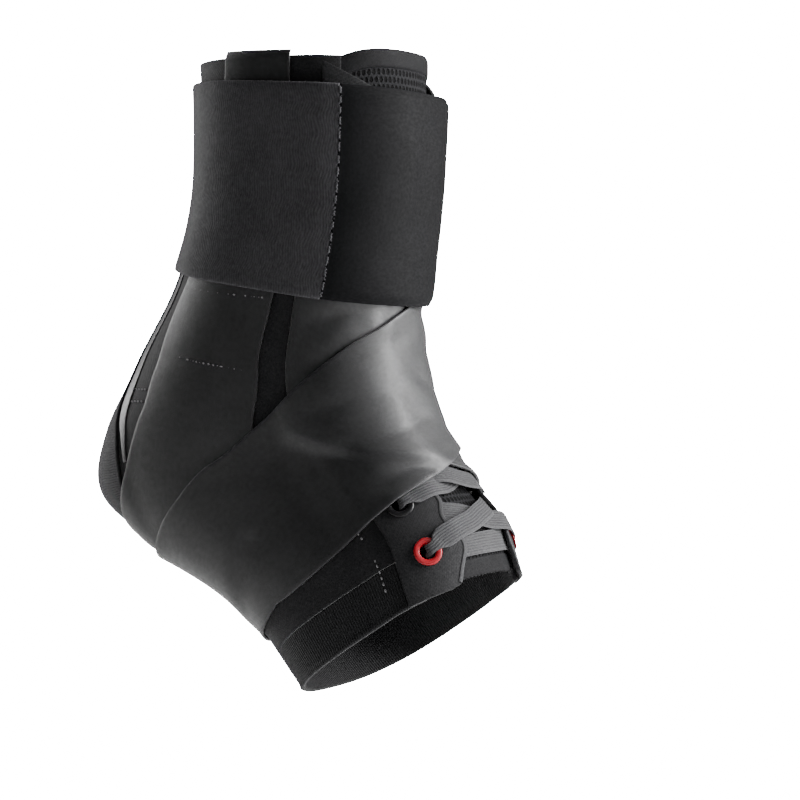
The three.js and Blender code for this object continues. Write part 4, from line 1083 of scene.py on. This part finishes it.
def makeCuff():
    t = np.linspace(0, 1, 60)[None, :]
    around = np.linspace(cuff["seam"] + 0.15, 360 + cuff["end"] + cuff["lap"], 300)[:, None]
    along = cuffPlaces(around, t)
    around = np.broadcast_to(around, along.shape)
    inner = cuffRest(around, along)
    roll = 0.35 * (np.exp(-(((t - 0.0) * cuff["height"]) / 1.5) ** 2) + np.exp(-(((1 - t) * cuff["height"]) / 1.5) ** 2))
    outer = inner + heights["cuff"] - roll
    bm = sheetMesh(along, around, inner, outer, rim=0.7)
    piece = finishPiece("cuffBandKnit", bm, fabrics["cuff"], ["cuff_band"])
    patchAround = np.linspace(cuff["seam"] - 0.15, cuff["end"], 230)[:, None]
    s = np.linspace(0, 1, 230)[:, None]
    inset = 0.12 * ease(s, 0.93, 1) ** 2
    along2 = cuffPlaces(patchAround, mix(inset, 1 - inset, t))
    patchAround = np.broadcast_to(patchAround, along2.shape)
    base = cuffRest(patchAround, along2)
    stamp(laid, along, around, outer)
    lapped = 1 - ease(patchAround, cuff["end"] + cuff["lap"] + 8, cuff["end"] + cuff["lap"] + 26)
    inner2 = base + lapped * (heights["cuff"] + heights["gap"])
    fall = 1.1 * (np.exp(-((t * cuff["height"]) / 2.2) ** 2) + np.exp(-(((1 - t) * cuff["height"]) / 2.2) ** 2))
    outer2 = inner2 + heights["cuff"] - fall
    stamp(laid, along2, patchAround, outer2)
    bm = sheetMesh(along2, patchAround, inner2, outer2, rim=0.7)
    piece = finishPiece("cuffPatchCloth", bm, fabrics["patch"], ["cuff_patch"])


makeCuff()
zigzag = []
for k, share in enumerate(np.linspace(0.02, 0.98, 120)):    # joins the cuff to its closing patch
    first, second = (float(cuffPlaces(cuff["seam"], share + move)) for move in (0, 0.008))
    lean = 0.6 if k % 2 else -0.6
    zigzag.append([(first, cuff["seam"] - lean), (second, cuff["seam"] + lean)])
makeStitches("cuffStitches", zigzag, pitch=9, dash=1.1, thread=fabrics["cuff"])
print("cuff done")

# Camera, floor and light
view = {"azimuth": 32, "elevation": 1.7, "distance": 0.780, "right": 0.0418, "up": 0.0038, "lens": 92.37, "floor": -0.15}
studio = {"backdrop": 40, "ambient": 0.055, "floorGlow": 40, "key": 29, "rim": 6.5, "fill": 1.0, "overhead": 2.0}


def makeCamera():
    turn, lift = math.radians(view["azimuth"]), math.radians(view["elevation"])
    right = Vector((math.cos(turn), math.sin(turn), 0))
    back = Vector((math.sin(turn) * math.cos(lift), -math.cos(turn) * math.cos(lift), math.sin(lift)))
    target = right * view["right"] + back.cross(right) * view["up"]
    camera = bpy.data.objects.new("camera", bpy.data.cameras.new("camera"))
    camera.data.lens = view["lens"]
    camera.data.sensor_width = 36
    camera.location = target + back * view["distance"]
    camera.rotation_mode = "QUATERNION"
    camera.rotation_quaternion = (-back).to_track_quat("-Z", "Y")
    bpy.context.scene.collection.objects.link(camera)
    bpy.context.scene.camera = camera
    return right, back


def makeLight(name, direction, distance, size, power, target=(0, 0, 0)):
    lamp = bpy.data.lights.new(name, "AREA")
    lamp.shape = "RECTANGLE"
    lamp.size, lamp.size_y = size
    lamp.energy = power
    light = bpy.data.objects.new(name, lamp)
    light.location = Vector(direction).normalized() * distance
    light.rotation_mode = "QUATERNION"
    light.rotation_quaternion = (light.location - Vector(target)).to_track_quat("Z", "Y")
    bpy.context.scene.collection.objects.link(light)


def makeStudio():
    right, back = makeCamera()
    bm = bmesh.new()
    bmesh.ops.create_grid(bm, x_segments=2, y_segments=2, size=6)
    mesh = bpy.data.meshes.new("floor")
    bm.to_mesh(mesh)
    bm.free()
    mesh.transform(Matrix.Translation((0, 0, view["floor"])))
    floor = bpy.data.objects.new("floor", mesh)
    bpy.context.scene.collection.objects.link(floor)
    material, nodes, links = newMaterial("floorPaint")
    shader = nodes["Principled BSDF"]
    shader.inputs["Base Color"].default_value = (0.88, 0.88, 0.88, 1)
    shader.inputs["Roughness"].default_value = 0.9
    seen = nodes.new("ShaderNodeLightPath")
    shader.inputs["Emission Color"].default_value = (1, 1, 1, 1)
    glow = mathNode(nodes, links, "MULTIPLY", seen.outputs["Is Camera Ray"], studio["floorGlow"])
    links.new(glow, shader.inputs["Emission Strength"])
    mesh.materials.append(material)
    world = bpy.data.worlds.new("studio")
    world.use_nodes = True
    nodes, links = world.node_tree.nodes, world.node_tree.links
    seen = nodes.new("ShaderNodeLightPath")
    backdrop = studio["backdrop"] - studio["ambient"]
    strength = mathNode(nodes, links, "MULTIPLY_ADD", seen.outputs["Is Camera Ray"], backdrop, studio["ambient"])
    links.new(strength, nodes["Background"].inputs["Strength"])
    nodes["Background"].inputs["Color"].default_value = (1, 1, 1, 1)
    bpy.context.scene.world = world
    up = Vector((0, 0, 1))
    makeLight("keySoft", right * 1.0 + back * 0.05 + up * 0.35, 1.0, (0.45, 0.9), studio["key"])
    makeLight("rimSoft", -right * 1.0 - back * 0.75 + up * 0.35, 1.0, (0.25, 0.9), studio["rim"])
    makeLight("frontFill", back * 1.0 + up * 0.7 + right * 0.5, 1.3, (0.7, 0.7), studio["fill"])
    makeLight("topSoft", up * 1.0 - back * 0.3, 1.1, (0.6, 0.6), studio["overhead"])


makeStudio()
print("studio done")
